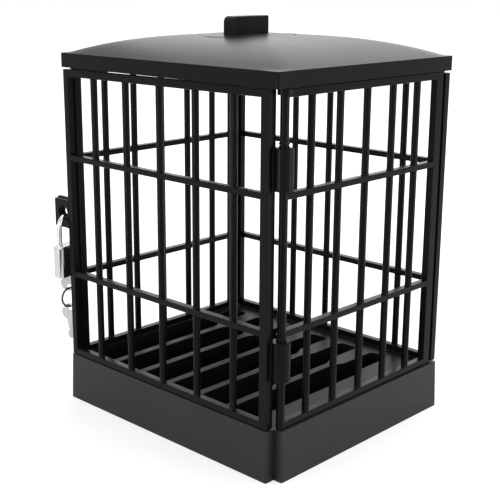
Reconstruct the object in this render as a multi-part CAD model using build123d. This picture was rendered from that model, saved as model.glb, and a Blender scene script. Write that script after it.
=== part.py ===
from build123d import *
import math
import os

# Phone lock box: a barred cage on a slotted base, with a vaulted roof and grip, a door that snaps
# onto a round hinge post, and a small wafer padlock that hangs in the hasp with its keys.
# Millimetres, +Z up. The origin lies on the ground under the middle of the base. The door is the
# front, at -Y. Its hinge post stands at the +X end and its hasp at the -X end.

# Cage outline
cage_width = 146.2
cage_depth = 128.6
cage_height = 154.8
panel_thickness = 3.8

# Bars and rails
bar_diameter = 3.5
bars_per_panel = 5
rail_height = 3.0
top_rail_height = 3.6
bottom_rail_height = 3.3
lower_rail_share = 0.29587
upper_rail_share = 0.69961
side_bar_spread = 0.1542
side_bar_shift = -0.1
side_stile_width = 5.5
back_bar_spread = 0.1705
back_bar_shift = -1.1
back_stile_width = 5.5
door_bar_spread = 0.1666
door_bar_shift = -2.56
door_hinge_stile_width = 5.2
door_hasp_stile_width = 3.7
door_top_rail_height = 3.7
door_overhang = 0.8
door_foot_gap = 0.3
door_head_gap = 0.8

# Hinge
post_diameter = 4.0
post_setback = 6.9
post_to_stile = 2.0
running_clearance = 0.05
knuckle_diameter = 8.7
knuckle_height = 18.6
knuckle_mouth_angle = 96.0
knuckle_mouth_heading = 128.0
knuckle_web_thickness = 2.2
upper_knuckle_gap = 0.9
lower_knuckle_gap = 2.1
collar_diameter = 4.8
collar_height = 2.2
collar_gap = 0.15
collar_groove_width = 0.5
collar_groove_depth = 0.25
stile_relief = 1.2
stile_relief_depth = 2.5

# Snap tongues and pegs between the panels, the base and the roof
tongue_length = 8.0
tongue_thickness = 1.3
tongue_spread = 50.0
tongue_barb = 0.4
tongue_clearance = 0.12
side_tongue_gap = 0.25
back_tongue_gap = 0.2
roof_tongue_height = 3.6
peg_diameter = 2.0
peg_length = 3.0
peg_rise = 40.0
post_peg_shift = 0.8

# Base
base_side_margin = 1.1
base_front_margin = 0.5
base_height = 25.2
base_draft = 0.7
base_wall = 1.7
base_corner_radius = 1.2
rim_thickness = 2.4
notch_past_post = 0.6
cover_thickness = 2.0
cover_clearance = 0.2
boss_diameter = 5.6
boss_overlap = 0.5
boss_spread = 45.0
boss_height = 18.0
back_boss_place = -56.0
screw_diameter = 2.6
screw_head_diameter = 4.8
screw_head_height = 1.2
screw_length = 9.0
screw_clearance = 0.03

# Phone rack
slot_count = 6
slot_pitch = 21.2
slot_width = 17.0
slot_tail_width = 11.4
slot_front_margin = 3.5
slot_back_margin = 8.5
slot_tail_length = 31.0
slot_shoulder_run = 8.0
slot_tail_radius = 3.0
slot_group_shift = -6.4
rack_thickness = 2.2
rack_recess = 0.15
rack_underlap = 0.1
rack_clearance = 0.15
rack_wall = 1.2

# Roof
roof_side_margin = 0.5
roof_front_margin = 0.55
roof_rim_height = 7.2
roof_rise = 10.05
roof_crown_step = 0.05
roof_bow = 2.73
roof_wall = 2.0
roof_corner_radius = 1.5
socket_wall = 1.4
socket_height = 5.4

# Roof grip
grip_shift_x = -3.4
grip_shift_y = -1.8
grip_disc_diameter = 49.0
grip_disc_thickness = 2.0
grip_disc_proud = 0.3
grip_recess_clearance = 0.25
grip_fin_length = 24.4
grip_fin_thickness = 7.4
grip_fin_height = 8.6
grip_fin_edge_radius = 2.0
grip_fin_nose_radius = 3.0
grip_stem_diameter = 7.0
grip_pad_thickness = 2.0
grip_peg_spread = 17.0
grip_washer_diameter = 10.0
grip_washer_thickness = 0.8

# Hasp
hasp_plate_thickness = 2.1
hasp_plate_gap = 0.25
hasp_reach = 11.5
hasp_height = 15.2
hasp_share = 0.50129
hasp_corner_radius = 0.8
hasp_eye_diameter = 7.2
hasp_eye_inset = 4.4
hasp_eye_rise = 0.5
rear_plate_extra = 0.7
rear_plate_reach = 1.8
rear_plate_arm = 1.7
hasp_door_clearance = 0.4

# Padlock, in its own frame: X through its thickness, Y across its width, Z up, with the origin
# at the inside of the shackle's arch, where the shackle would bear on the hasp
lock_twist = 12.0
lock_thickness = 6.6
shackle_wire = 2.6
shackle_spread = 12.5
shackle_rise = 14.5
lock_height = 17.0
lock_cap_thickness = 1.0
leg_clearance = 0.08
shackle_bearing_gap = 0.65
lock_shift = 0.2
shackle_lift = 5.0
toe_depth = 4.8
heel_depth = 13.2
latch_width = 4.8
latch_thickness = 1.8
latch_nose_width = 1.9
latch_nose_height = 1.1
latch_engagement = 0.4
latch_gap = 0.1
latch_spring_diameter = 1.1
latch_spring_length = 2.8
plug_diameter = 5.4
plug_neck_diameter = 4.6
plug_shelf = 0.7
plug_turn = 40.0
cam_pin_radius = 1.75
cam_pin_diameter = 0.9
keeper_diameter = 0.9
keeper_depth = 6.95
waist_diameter = 1.8
clip_thickness = 0.4
clip_width = 0.75
clip_mouth_angle = 70.0
pocket_width = 5.4
pocket_height = 3.0
wafer_count = 4
wafer_pitch = 2.2
wafer_thickness = 0.6
wafer_width = 2.6
wafer_length = 4.4

# Keys and ring
keyway_angle = 28.0
key_blade_width = 3.6
key_blade_thickness = 0.9
key_blade_depth = 10.4
key_bow_radius = 4.6
key_bow_gap = 0.2
key_bow_thickness = 1.0
key_hole_diameter = 3.4
key_hole_drop = 2.15
key_clearance = 0.08
key_cuts = (0.5, 0.8, 0.3, 0.6)
ring_radius = 5.2
ring_wire = 1.0
ring_seat = 0.35
ring_heading = -16.0
ring_split = 0.3

# Sizes and places that follow from the ones above
side_bar_pitch = side_bar_spread * cage_depth
back_bar_pitch = back_bar_spread * cage_width
door_bar_pitch = door_bar_spread * cage_width
base_top_width = cage_width + 2 * base_side_margin
base_top_depth = cage_depth + 2 * base_front_margin
roof_width = cage_width + 2 * roof_side_margin
roof_depth = cage_depth + 2 * roof_front_margin
side_plane = cage_width / 2 - panel_thickness / 2
back_plane = cage_depth / 2 - panel_thickness / 2
inner_back = back_plane - panel_thickness / 2
door_front = -cage_depth / 2
door_back = door_front + panel_thickness
door_plane = (door_front + door_back) / 2
cage_top = base_height + cage_height
lower_rail_z = base_height + lower_rail_share * cage_height
upper_rail_z = base_height + upper_rail_share * cage_height
post_y = door_front + post_setback
door_left = -cage_width / 2 - door_overhang
door_right = side_plane - post_to_stile
door_foot = base_height + door_foot_gap
door_head = cage_top - door_head_gap
upper_knuckle_foot = upper_rail_z + rail_height / 2 + upper_knuckle_gap
lower_knuckle_foot = lower_rail_z - rail_height / 2 - lower_knuckle_gap - knuckle_height
shell_foot = base_height - rim_thickness
rack_top = base_height - rack_recess
rack_x = side_plane - panel_thickness / 2 + rack_underlap
rack_front = door_back - rack_underlap
rack_back = inner_back + rack_underlap
slot_front = door_back + slot_front_margin
slot_back = inner_back - slot_back_margin
slot_shoulder = slot_back - slot_tail_length
wall_x = base_top_width / 2 - base_wall
wall_y = base_top_depth / 2 - base_wall
side_tongue_shift = side_plane + tongue_thickness / 2 + side_tongue_gap - wall_x
back_tongue_shift = back_plane + tongue_thickness / 2 + back_tongue_gap - wall_y
roof_spring = cage_top + roof_rim_height
dome_top = roof_spring + roof_rise
disc_top = dome_top + grip_disc_proud
recess_floor = disc_top - grip_disc_thickness


def box_between(low, high):
    """A block from its lowest corner to its highest."""
    size = [b - a for a, b in zip(low, high)]
    middle = [(a + b) / 2 for a, b in zip(low, high)]
    return Pos(*middle) * Box(*size)


def rod_between(diameter, x, y, z_low, z_high):
    """An upright round rod."""
    return Pos(x, y, (z_low + z_high) / 2) * Cylinder(diameter / 2, z_high - z_low)


def cone_between(low_diameter, high_diameter, x, y, z_low, z_high):
    """An upright round taper."""
    taper = Cone(low_diameter / 2, high_diameter / 2, z_high - z_low)
    return Pos(x, y, (z_low + z_high) / 2) * taper


# Barred panels
def bar_places(pitch, shift):
    """The places of a panel's bars along its width."""
    return [shift + pitch * (k - (bars_per_panel - 1) / 2) for k in range(bars_per_panel)]


def grille(low, high, foot, head, pitch, shift, low_stile, high_stile, head_rail):
    """A flat grille in the XZ plane: stiles, four rails and round bars, in one moulding."""
    half = panel_thickness / 2
    rails = [
        (foot, foot + bottom_rail_height),
        (lower_rail_z - rail_height / 2, lower_rail_z + rail_height / 2),
        (upper_rail_z - rail_height / 2, upper_rail_z + rail_height / 2),
        (head - head_rail, head),
    ]
    pieces = [box_between((low, -half, a), (high, half, b)) for a, b in rails]
    for x in bar_places(pitch, shift):
        pieces.append(rod_between(bar_diameter, x, 0, foot + 1, head - 1))
    if low_stile:
        pieces.append(box_between((low, -half, foot), (low + low_stile, half, head)))
    if high_stile:
        pieces.append(box_between((high - high_stile, -half, foot), (high, half, head)))
    return pieces[0] + pieces[1:]


def foot_tongue(along, shift):
    """A barbed tongue under a grille's bottom rail. The barb faces the cage's inside, at +Y."""
    low = shift - tongue_thickness / 2
    high = shift + tongue_thickness / 2
    catch = shell_foot - 0.1
    outline = Polyline(
        (low, base_height + 0.5),
        (low, catch - 1.6),
        (high - 0.4, catch - 1.6),
        (high + tongue_barb, catch - 0.5),
        (high + tongue_barb, catch),
        (high, catch),
        (high, base_height + 0.5),
        close=True,
    )
    return Pos(along, 0, 0) * extrude(Plane.YZ * make_face(outline), tongue_length / 2, both=True)


def foot_slot(along, shift):
    """The slot in the base's rim that a foot tongue goes through."""
    low = shift - tongue_thickness / 2 - tongue_clearance
    high = shift + tongue_thickness / 2 + tongue_clearance
    reach = tongue_length / 2 + tongue_clearance
    return box_between((along - reach, low, shell_foot - 1), (along + reach, high, base_height + 1))


def roof_tongue(along):
    """A plain tongue on a grille's top rail, inside the roof's wall."""
    return box_between(
        (along - tongue_length / 2, 0.1, cage_top - 0.5),
        (along + tongue_length / 2, 0.1 + tongue_thickness, cage_top + roof_tongue_height),
    )


def roof_socket(along):
    """The block under the roof that a roof tongue goes up into."""
    reach = tongue_length / 2 + tongue_clearance + socket_wall
    return box_between(
        (along - reach, -0.9, cage_top + 0.1),
        (along + reach, 0.1 + tongue_thickness + tongue_clearance + socket_wall, cage_top + socket_height),
    )


def roof_slot(along):
    """The slot in a roof socket."""
    reach = tongue_length / 2 + tongue_clearance
    return box_between(
        (along - reach, 0.1 - tongue_clearance, cage_top - 1),
        (along + reach, 0.1 + tongue_thickness + tongue_clearance, cage_top + roof_tongue_height + 0.3),
    )


def at_left(piece):
    """Stands a grille's parts on the -X side, their +Y side to the cage's inside."""
    return Pos(-side_plane, 0, 0) * Rot(0, 0, -90) * piece


def at_right(piece):
    """Stands a grille's parts on the +X side, their +Y side to the cage's inside."""
    return Pos(side_plane, 0, 0) * Rot(0, 0, 90) * piece


def at_back(piece):
    """Stands a grille's parts at the back, their +Y side to the cage's inside."""
    return Pos(0, back_plane, 0) * Rot(0, 0, 180) * piece


tongue_places = (-tongue_spread / 2, tongue_spread / 2)
panel_seats = ((at_left, side_tongue_shift), (at_right, side_tongue_shift), (at_back, back_tongue_shift))


def with_tongues(piece, shift):
    """Adds the tongues that a fixed grille snaps into the base and the roof by."""
    return piece + [foot_tongue(a, shift) for a in tongue_places] + [roof_tongue(a) for a in tongue_places]


def peg_places():
    """The heights of the pegs that key the back grille to the side grilles."""
    return (base_height + peg_rise, cage_top - peg_rise)


def side_grille(turn):
    """A side grille in its own plane. turn is +1 where its own +X runs to the back."""
    front = turn * post_y
    back = turn * inner_back
    stiles = (0, side_stile_width) if turn > 0 else (side_stile_width, 0)
    piece = grille(
        min(front, back), max(front, back), base_height, cage_top,
        side_bar_pitch, turn * side_bar_shift, stiles[0], stiles[1], top_rail_height,
    )
    piece += rod_between(post_diameter, front, 0, base_height, cage_top)
    piece += rod_between(peg_diameter, front, post_peg_shift, cage_top - 1, cage_top + peg_length)
    for z in peg_places():
        hole = Cylinder(peg_diameter / 2 + running_clearance, 2 * (peg_length + 0.3))
        piece -= Pos(back, 0, z) * Rot(0, 90, 0) * hole
    return with_tongues(piece, side_tongue_shift)


def make_right_side_panel():
    """The +X grille, with the round post that the door's knuckles snap onto and its two collars."""
    piece = at_right(side_grille(1))
    upper = upper_knuckle_foot + knuckle_height + collar_gap
    lower = lower_knuckle_foot + knuckle_height + collar_gap
    piece += rod_between(collar_diameter, side_plane, post_y, upper, upper + collar_height)
    piece += rod_between(collar_diameter, side_plane, post_y, lower, lower_rail_z)
    groove_foot = upper + (collar_height - collar_groove_width) / 2
    groove_head = groove_foot + collar_groove_width
    groove = rod_between(collar_diameter + 2, side_plane, post_y, groove_foot, groove_head)
    return piece - (groove - rod_between(
        collar_diameter - 2 * collar_groove_depth, side_plane, post_y, groove_foot, groove_head
    ))


# Hasp
hasp_middle = base_height + hasp_share * cage_height
hasp_foot = hasp_middle - hasp_height / 2
hasp_head = hasp_foot + hasp_height
hasp_eye_x = door_left - hasp_eye_inset
hasp_eye_z = hasp_middle + hasp_eye_rise
rear_plate_front = door_front + hasp_plate_thickness + hasp_plate_gap


def hasp_plate(x_low, x_high, y_low, z_low, z_high):
    """An upright plate with rounded corners at its free end, in the XZ plane."""
    plate = box_between((x_low, y_low, z_low), (x_high, y_low + hasp_plate_thickness, z_high))
    free_edges = plate.edges().filter_by(Axis.Y).sort_by(Axis.X)[:2]
    return fillet(free_edges, hasp_corner_radius)


def hasp_eye():
    """The hole through both hasp plates."""
    hole = Cylinder(hasp_eye_diameter / 2, 4 * panel_thickness)
    return Pos(hasp_eye_x, door_plane, hasp_eye_z) * Rot(90, 0, 0) * hole


def make_left_side_panel():
    """The -X grille, at the hasp side."""
    return at_left(side_grille(-1))


def make_rear_hasp_plate():
    """The hasp plate behind the door's, on the arm that joins it to the -X grille's post."""
    arm_right = door_left - hasp_door_clearance
    arm_left = arm_right - rear_plate_arm
    arm_back = post_y + post_diameter / 2 - 0.6
    arm_end = -side_plane - 0.6
    head = hasp_head + rear_plate_extra
    plate = hasp_plate(door_left - hasp_reach - rear_plate_reach, arm_right, rear_plate_front, hasp_foot, head)
    plate += box_between((arm_left, door_back + hasp_door_clearance, hasp_foot), (arm_end, arm_back, head))
    return plate - hasp_eye() - make_left_side_panel()


def make_back_panel():
    """The back grille, with the pegs that key it to the two side grilles."""
    half = cage_width / 2
    flat = grille(
        -half, half, base_height, cage_top, back_bar_pitch, -back_bar_shift,
        back_stile_width, back_stile_width, top_rail_height,
    )
    piece = at_back(with_tongues(flat, back_tongue_shift))
    for x in (-side_plane, side_plane):
        for z in peg_places():
            peg = Cylinder(peg_diameter / 2, peg_length + 0.5)
            piece += Pos(x, inner_back - peg_length / 2 + 0.25, z) * Rot(90, 0, 0) * peg
    return piece


# Door
def knuckle(foot):
    """A C-shaped barrel that snaps onto the post, with the web that joins it to the door's stile."""
    outer = knuckle_diameter / 2
    bore = post_diameter / 2 + running_clearance
    heading = math.radians(knuckle_mouth_heading)
    half_mouth = math.radians(knuckle_mouth_angle / 2)
    reach = 2 * outer
    angles = (heading - half_mouth, heading, heading + half_mouth)
    rays = [(reach * math.cos(a), reach * math.sin(a)) for a in angles]
    mouth = make_face(Polyline((0, 0), *rays, close=True))
    section = Circle(outer) - Circle(bore) - mouth
    web_length = knuckle_diameter / 2
    web = Pos(-web_length / 2 - 0.5, door_back - post_y - 0.2) * Rectangle(web_length, knuckle_web_thickness)
    section += web - Circle(bore + 1.0)
    middle = (outer + bore) / 2
    for a in (heading - half_mouth, heading + half_mouth):
        section += Pos(middle * math.cos(a), middle * math.sin(a)) * Circle((outer - bore) / 2 - 0.05)
    return Pos(side_plane, post_y, foot) * extrude(section, knuckle_height)


def make_door_panel():
    """The front grille, its hinge stile relieved beside the knuckles."""
    piece = Pos(0, door_plane, 0) * grille(
        door_left, door_right, door_foot, door_head, door_bar_pitch, door_bar_shift,
        door_hasp_stile_width, door_hinge_stile_width, door_top_rail_height,
    )
    for foot in (upper_knuckle_foot, lower_knuckle_foot):
        piece -= box_between(
            (door_right - stile_relief, door_front - 1, foot),
            (door_right + 1, door_front + stile_relief_depth, foot + knuckle_height),
        )
    return piece


def make_hinge_knuckles():
    """The two open barrels that carry the door on its post, up to the face of the hinge stile."""
    stile = box_between(
        (door_right - door_hinge_stile_width, door_front, door_foot), (door_right, door_back, door_head)
    )
    return Compound([knuckle(foot) - stile for foot in (upper_knuckle_foot, lower_knuckle_foot)])


def make_front_hasp_plate():
    """The hasp plate at the door's free edge."""
    plate = hasp_plate(door_left - hasp_reach, door_left, door_front, hasp_foot, hasp_head)
    return plate - hasp_eye()


# Base
def drafted_block(width, depth, height, radius, growth):
    """A block that widens downwards by growth on each side, its small face on top."""
    taper = math.degrees(math.atan(growth / height))
    return extrude(RectangleRounded(width + 2 * growth, depth + 2 * growth, radius), height, taper=taper)


def notch_block(extra, low, high):
    """The square notch in the base's corner, in front of the hinge post."""
    corner_x = side_plane - post_diameter / 2 + 0.8 - extra
    corner_y = post_y - post_diameter / 2 - notch_past_post + extra
    return box_between((corner_x, corner_y - 20, low), (corner_x + 20, corner_y, high))


def cover_screw_places():
    """Two screws beside the rack's wide border, two behind its slots."""
    side_x = wall_x - boss_diameter / 2 + boss_overlap
    back_y = wall_y - boss_diameter / 2 + boss_overlap
    return [(side_x, -boss_spread), (side_x, boss_spread), (back_boss_place, back_y), (0, back_y)]


def rack_outline(growth):
    """The rack's plan, with the corner that clears the hinge post's seat."""
    width = 2 * (rack_x + growth)
    depth = rack_back - rack_front + 2 * growth
    plan = Pos(0, (rack_front + rack_back) / 2) * Rectangle(width, depth)
    seat_x = side_plane - post_diameter / 2 - 1.5 + growth
    seat_y = post_y + post_diameter / 2 + 1.0 - growth
    return plan - Pos(seat_x + 10, seat_y - 10) * Rectangle(20, 20)


def make_base_shell():
    """The base's outer shell: drafted walls, a rim that carries the panels, and screw bosses."""
    outer = drafted_block(base_top_width, base_top_depth, base_height, base_corner_radius, base_draft)
    inner = drafted_block(
        base_top_width - 2 * base_wall, base_top_depth - 2 * base_wall, base_height, 0.5, base_draft
    )
    inner &= box_between((-200, -200, -1), (200, 200, shell_foot))
    inner -= notch_block(base_wall, -1, base_height + 1)
    piece = outer - notch_block(0, -1, base_height + 1) - inner
    piece -= extrude(rack_outline(rack_clearance), base_height + 1)
    for x, y in cover_screw_places():
        piece += rod_between(boss_diameter, x, y, cover_thickness + 0.1, boss_height)
    for x, y in cover_screw_places():
        piece -= rod_between(screw_diameter + 2 * screw_clearance, x, y, 0, screw_length + 1)
    for place in tongue_places:
        for seat, shift in panel_seats:
            piece -= seat(foot_slot(place, shift))
    return piece


def slot_outline(growth):
    """One phone slot: wide in front, narrowing by a soft shoulder to a round-ended tail."""
    wide = slot_width / 2 + growth
    tail = slot_tail_width / 2 + growth
    front = slot_front - growth
    back = slot_back + growth
    shoulder_end = slot_shoulder + slot_shoulder_run
    radius = slot_tail_radius + growth
    lean = slot_shoulder_run * 0.55
    half = [
        Line((0, front), (wide, front)),
        Line((wide, front), (wide, slot_shoulder)),
        Bezier(
            (wide, slot_shoulder), (wide, slot_shoulder + lean),
            (tail, shoulder_end - lean), (tail, shoulder_end),
        ),
        Line((tail, shoulder_end), (tail, back - radius)),
        CenterArc((tail - radius, back - radius), radius, 0, 90),
        Line((tail - radius, back), (0, back)),
        Line((0, back), (0, front)),
    ]
    side = make_face(half)
    return side + mirror(side, Plane.YZ)


def make_phone_rack():
    """The drop-in rack: a plate with a walled pocket for each phone, standing on the bottom cover."""
    first = slot_group_shift - slot_pitch * (slot_count - 1) / 2
    places = [first + slot_pitch * k for k in range(slot_count)]
    piece = extrude(Pos(0, 0, rack_top - rack_thickness) * rack_outline(0), rack_thickness)
    wall = slot_outline(rack_wall)
    hole = slot_outline(0)
    skirt_height = rack_top - rack_thickness / 2 - cover_thickness
    piece += [extrude(Pos(x, 0, cover_thickness) * wall, skirt_height) for x in places]
    piece &= box_between((-rack_x, -200, 0), (rack_x, 200, base_height))
    for x in places:
        piece -= extrude(Pos(x, 0, cover_thickness - 1) * hole, base_height)
    return piece


def make_base_cover():
    """The flat bottom cover that closes the base from beneath, countersunk for its screws."""
    grow = base_draft - base_wall - cover_clearance
    piece = extrude(RectangleRounded(base_top_width + 2 * grow, base_top_depth + 2 * grow, 0.5), cover_thickness)
    piece -= notch_block(base_wall + cover_clearance, -1, base_height)
    rise = 0.2
    slope = (screw_head_diameter - screw_diameter) / screw_head_height
    wide = screw_head_diameter + 0.3 + slope * 2 * rise
    narrow = wide - slope * (screw_head_height + 2 * rise)
    for x, y in cover_screw_places():
        piece -= rod_between(screw_diameter + 0.4, x, y, -1, cover_thickness + 1)
        piece -= cone_between(wide, narrow, x, y, -rise, screw_head_height + rise)
    return piece


def cover_screw(x, y):
    """A countersunk self-tapping screw, head down, its point up in the boss."""
    foot = 0.1
    neck = foot + screw_head_height
    piece = cone_between(screw_head_diameter, screw_diameter, x, y, foot, neck)
    piece += rod_between(screw_diameter, x, y, neck, screw_length - 1.0)
    piece += cone_between(screw_diameter, 0.8, x, y, screw_length - 1.0, screw_length)
    piece -= box_between((x - 0.35, y - 1.5, -1), (x + 0.35, y + 1.5, foot + 0.6))
    piece -= box_between((x - 1.5, y - 0.35, -1), (x + 1.5, y + 0.35, foot + 0.6))
    return piece


def make_base_cover_screws():
    """The four screws that hold the bottom cover."""
    return Compound([cover_screw(x, y).solid() for x, y in cover_screw_places()])


# Roof
def vault(half_x, half_y, foot, spring):
    """Two bowed barrel vaults in one: they meet along soft hips from the corners."""
    samples = 12
    shares = [2 * k / samples - 1 for k in range(samples + 1)]
    profiles = []
    for half, rise in ((half_x, roof_rise), (half_y, roof_rise + roof_crown_step)):
        curve = Spline(*[(half * u, spring + rise * (1 - abs(u) ** roof_bow)) for u in shares])
        sides = Polyline((half, spring), (half, foot), (-half, foot), (-half, spring))
        profiles.append(make_face([curve, sides]))
    along_y = extrude(Plane.XZ * profiles[0], roof_depth, both=True)
    along_x = extrude(Plane.YZ * profiles[1], roof_width, both=True)
    return along_y & along_x


def make_roof_shell():
    """The vaulted roof: thin shell, sockets for the panels, and the recess for the grip."""
    outer = vault(roof_width / 2, roof_depth / 2, cage_top, roof_spring)
    outer &= extrude(Pos(0, 0, cage_top - 1) * RectangleRounded(roof_width, roof_depth, roof_corner_radius), 40)
    inner_x = roof_width / 2 - roof_wall
    inner_y = roof_depth / 2 - roof_wall
    piece = outer - vault(inner_x, inner_y, cage_top - 1, roof_spring - roof_wall)
    disc = grip_disc_diameter
    pad = rod_between(disc + 3, grip_shift_x, grip_shift_y, recess_floor - grip_pad_thickness, dome_top - 1)
    piece += pad & outer
    piece += [seat(roof_socket(place)) for place in tongue_places for seat, shift in panel_seats]
    peg_hole = peg_diameter + 2 * tongue_clearance
    for turn, seat in ((-1, at_left), (1, at_right)):
        place = (turn * post_y, post_peg_shift)
        boss = rod_between(peg_diameter + 2 * socket_wall, *place, cage_top + 0.1, roof_spring)
        piece += seat(boss) & outer
        piece -= seat(rod_between(peg_hole, *place, cage_top - 1, cage_top + peg_length + 0.3))
    for place in tongue_places:
        for seat, shift in panel_seats:
            piece -= seat(roof_slot(place))
    recess = disc + 2 * grip_recess_clearance
    stem_hole = grip_stem_diameter + 2 * tongue_clearance
    piece -= rod_between(recess, grip_shift_x, grip_shift_y, recess_floor, disc_top + 5)
    piece -= rod_between(stem_hole, grip_shift_x, grip_shift_y, recess_floor - 9, disc_top)
    for side in (-1, 1):
        x = grip_shift_x + side * grip_peg_spread / 2
        piece -= rod_between(peg_hole, x, grip_shift_y, recess_floor - 1.4, disc_top)
    return piece


def make_roof_handle():
    """The grip: a round plate with an upright fin, its stem and two pegs in the roof's pad."""
    disc = Cylinder(grip_disc_diameter / 2, grip_disc_thickness)
    disc = chamfer(disc.edges().sort_by(Axis.Z)[-1], 0.35)
    piece = Pos(0, 0, recess_floor + grip_disc_thickness / 2) * disc
    half_x = grip_fin_thickness / 2
    half_y = grip_fin_length / 2
    top = disc_top + grip_fin_height
    nose = grip_fin_nose_radius
    fin = box_between((-half_x, -half_y, disc_top - 1), (half_x, half_y, top))
    fin = fillet(fin.edges().filter_by(Axis.Z), grip_fin_edge_radius)
    behind_nose = box_between((-99, nose - half_y, 0), (99, 99, 999))
    below_nose = box_between((-99, -99, 0), (99, nose - half_y, top - nose))
    round_nose = Pos(0, nose - half_y, top - nose) * Rot(0, 90, 0) * Cylinder(nose, 198)
    piece += fin & (behind_nose + below_nose + round_nose)
    stem_foot = recess_floor - grip_pad_thickness
    piece += rod_between(grip_stem_diameter, 0, 0, stem_foot, disc_top - 0.5)
    for side in (-1, 1):
        piece += rod_between(peg_diameter, side * grip_peg_spread / 2, 0, recess_floor - 1.2, recess_floor + 1)
    piece -= rod_between(screw_diameter + 2 * screw_clearance, 0, 0, stem_foot - 1, stem_foot + screw_length)
    return Pos(grip_shift_x, grip_shift_y, 0) * piece


washer_head = recess_floor - grip_pad_thickness - 0.02
washer_foot = washer_head - grip_washer_thickness


def make_handle_washer():
    """The washer between the roof's pad and the grip's screw."""
    ring = Cylinder(grip_washer_diameter / 2, grip_washer_thickness)
    ring -= Cylinder(screw_diameter / 2 + 0.2, grip_washer_thickness + 1)
    return Pos(grip_shift_x, grip_shift_y, (washer_foot + washer_head) / 2) * ring


def make_handle_screw():
    """The pan-head screw that pulls the grip down from inside the roof."""
    head_height = 1.6
    head_head = washer_foot - 0.02
    head_foot = head_head - head_height
    head = Pos(0, 0, head_foot + head_height / 2) * Cylinder(screw_head_diameter / 2, head_height)
    head = fillet(head.edges().sort_by(Axis.Z)[0], 0.7)
    shank_top = washer_foot + screw_length - 1.2
    piece = head + rod_between(screw_diameter, 0, 0, head_head - 0.5, shank_top - 1)
    piece += cone_between(screw_diameter, 0.8, 0, 0, shank_top - 1, shank_top)
    piece -= box_between((-0.35, -1.5, head_foot - 1), (0.35, 1.5, head_foot + 0.7))
    piece -= box_between((-1.5, -0.35, head_foot - 1), (1.5, 0.35, head_foot + 0.7))
    return Pos(grip_shift_x, grip_shift_y, 0) * piece


# Padlock
wire_radius = shackle_wire / 2
leg_y = shackle_spread / 2
arch_z = wire_radius - leg_y
body_top = -shackle_rise
body_foot = body_top - lock_height
cap_foot = body_top - lock_cap_thickness
toe_foot = body_top - toe_depth
heel_foot = body_top - heel_depth
latch_travel = 2 * cam_pin_radius * math.sin(math.radians(plug_turn / 2))
toe_play = shackle_lift * latch_engagement / latch_travel + 0.1
latch_head = cap_foot - latch_gap
nose_foot = latch_head - latch_nose_height
latch_foot = latch_head - latch_thickness
nose_tip = -leg_y + wire_radius - latch_engagement
latch_front = -2.4
latch_rear = 2.0
pocket_foot = cap_foot - pocket_height
pocket_front = -2.9
pocket_rear = 4.3
plug_head = pocket_foot - plug_shelf - 0.05
clip_foot = pocket_foot + 0.05
neck_head = latch_foot - 0.2
groove_diameter = plug_neck_diameter - 0.9
keeper_y = leg_y - waist_diameter / 2 - keeper_diameter / 2 - 0.05
keeper_z = body_top - keeper_depth
waist_head = keeper_z + keeper_diameter / 2 + 0.1
waist_foot = keeper_z - keeper_diameter / 2 - shackle_lift - 0.15
lock_x = hasp_eye_x + lock_shift
lock_y = door_front + hasp_plate_thickness + hasp_plate_gap / 2
lock_z = hasp_eye_z - hasp_eye_diameter / 2 + shackle_bearing_gap


def in_lock(piece):
    """Moves a padlock part from the padlock's frame into the cage's."""
    return Pos(lock_x, lock_y, lock_z) * Rot(0, 0, lock_twist) * piece


def in_keyway(piece):
    """Turns a part so that its own X runs along the keyway."""
    return Rot(0, 0, keyway_angle) * piece


def make_padlock_shackle():
    """The bent wire shackle: a short notched toe, and a long heel with a waist for its keeper."""
    torus = Rot(0, 90, 0) * Torus(leg_y, wire_radius)
    arch = Pos(0, 0, arch_z) * (torus & box_between((-50, -50, 0), (50, 50, 50)))
    toe = rod_between(shackle_wire, 0, -leg_y, toe_foot + 0.4, arch_z)
    toe += cone_between(shackle_wire - 0.8, shackle_wire, 0, -leg_y, toe_foot, toe_foot + 0.4)
    heel = rod_between(shackle_wire, 0, leg_y, waist_head, arch_z)
    heel += rod_between(waist_diameter, 0, leg_y, waist_foot, waist_head)
    heel += rod_between(shackle_wire, 0, leg_y, heel_foot, waist_foot)
    piece = arch + toe + heel
    notch_side = -leg_y + wire_radius - latch_engagement - 0.15
    piece -= box_between((-5, notch_side, nose_foot - toe_play), (5, 0, cap_foot))
    return in_lock(piece)


def stadium(foot, head):
    """A slab with the padlock's plan: flat sides, and ends rounded about the shackle's legs."""
    plan = Rot(0, 0, 90) * SlotCenterToCenter(shackle_spread, lock_thickness)
    return extrude(Pos(0, 0, foot) * plan, head - foot)


def leg_hole(y, foot):
    """A hole for one of the shackle's legs."""
    return rod_between(shackle_wire + 2 * leg_clearance, 0, y, foot, 0)


def make_padlock_body():
    """The body: leg holes, a latch pocket under the cap, and the plug's bore from below."""
    piece = stadium(body_foot, cap_foot)
    piece = fillet(piece.faces().sort_by(Axis.Z)[0].edges(), 0.5)
    piece -= leg_hole(-leg_y, toe_foot - 0.5)
    piece -= leg_hole(leg_y, heel_foot - 0.5)
    half = pocket_width / 2
    piece -= box_between((-half, pocket_front, pocket_foot), (half, pocket_rear, 0))
    nose_half = latch_nose_width / 2 + 0.1
    piece -= box_between((-nose_half, -leg_y, nose_foot - latch_gap), (nose_half, 0, 0))
    bore = plug_diameter + 2 * running_clearance
    piece -= rod_between(bore, 0, 0, body_foot - 1, pocket_foot - plug_shelf)
    piece -= rod_between(plug_neck_diameter + 2 * running_clearance, 0, 0, body_foot, pocket_foot + 1)
    hole = Cylinder(keeper_diameter / 2 + screw_clearance, 2 * lock_thickness)
    piece -= Pos(0, keeper_y, keeper_z) * Rot(0, 90, 0) * hole
    return in_lock(piece)


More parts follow.
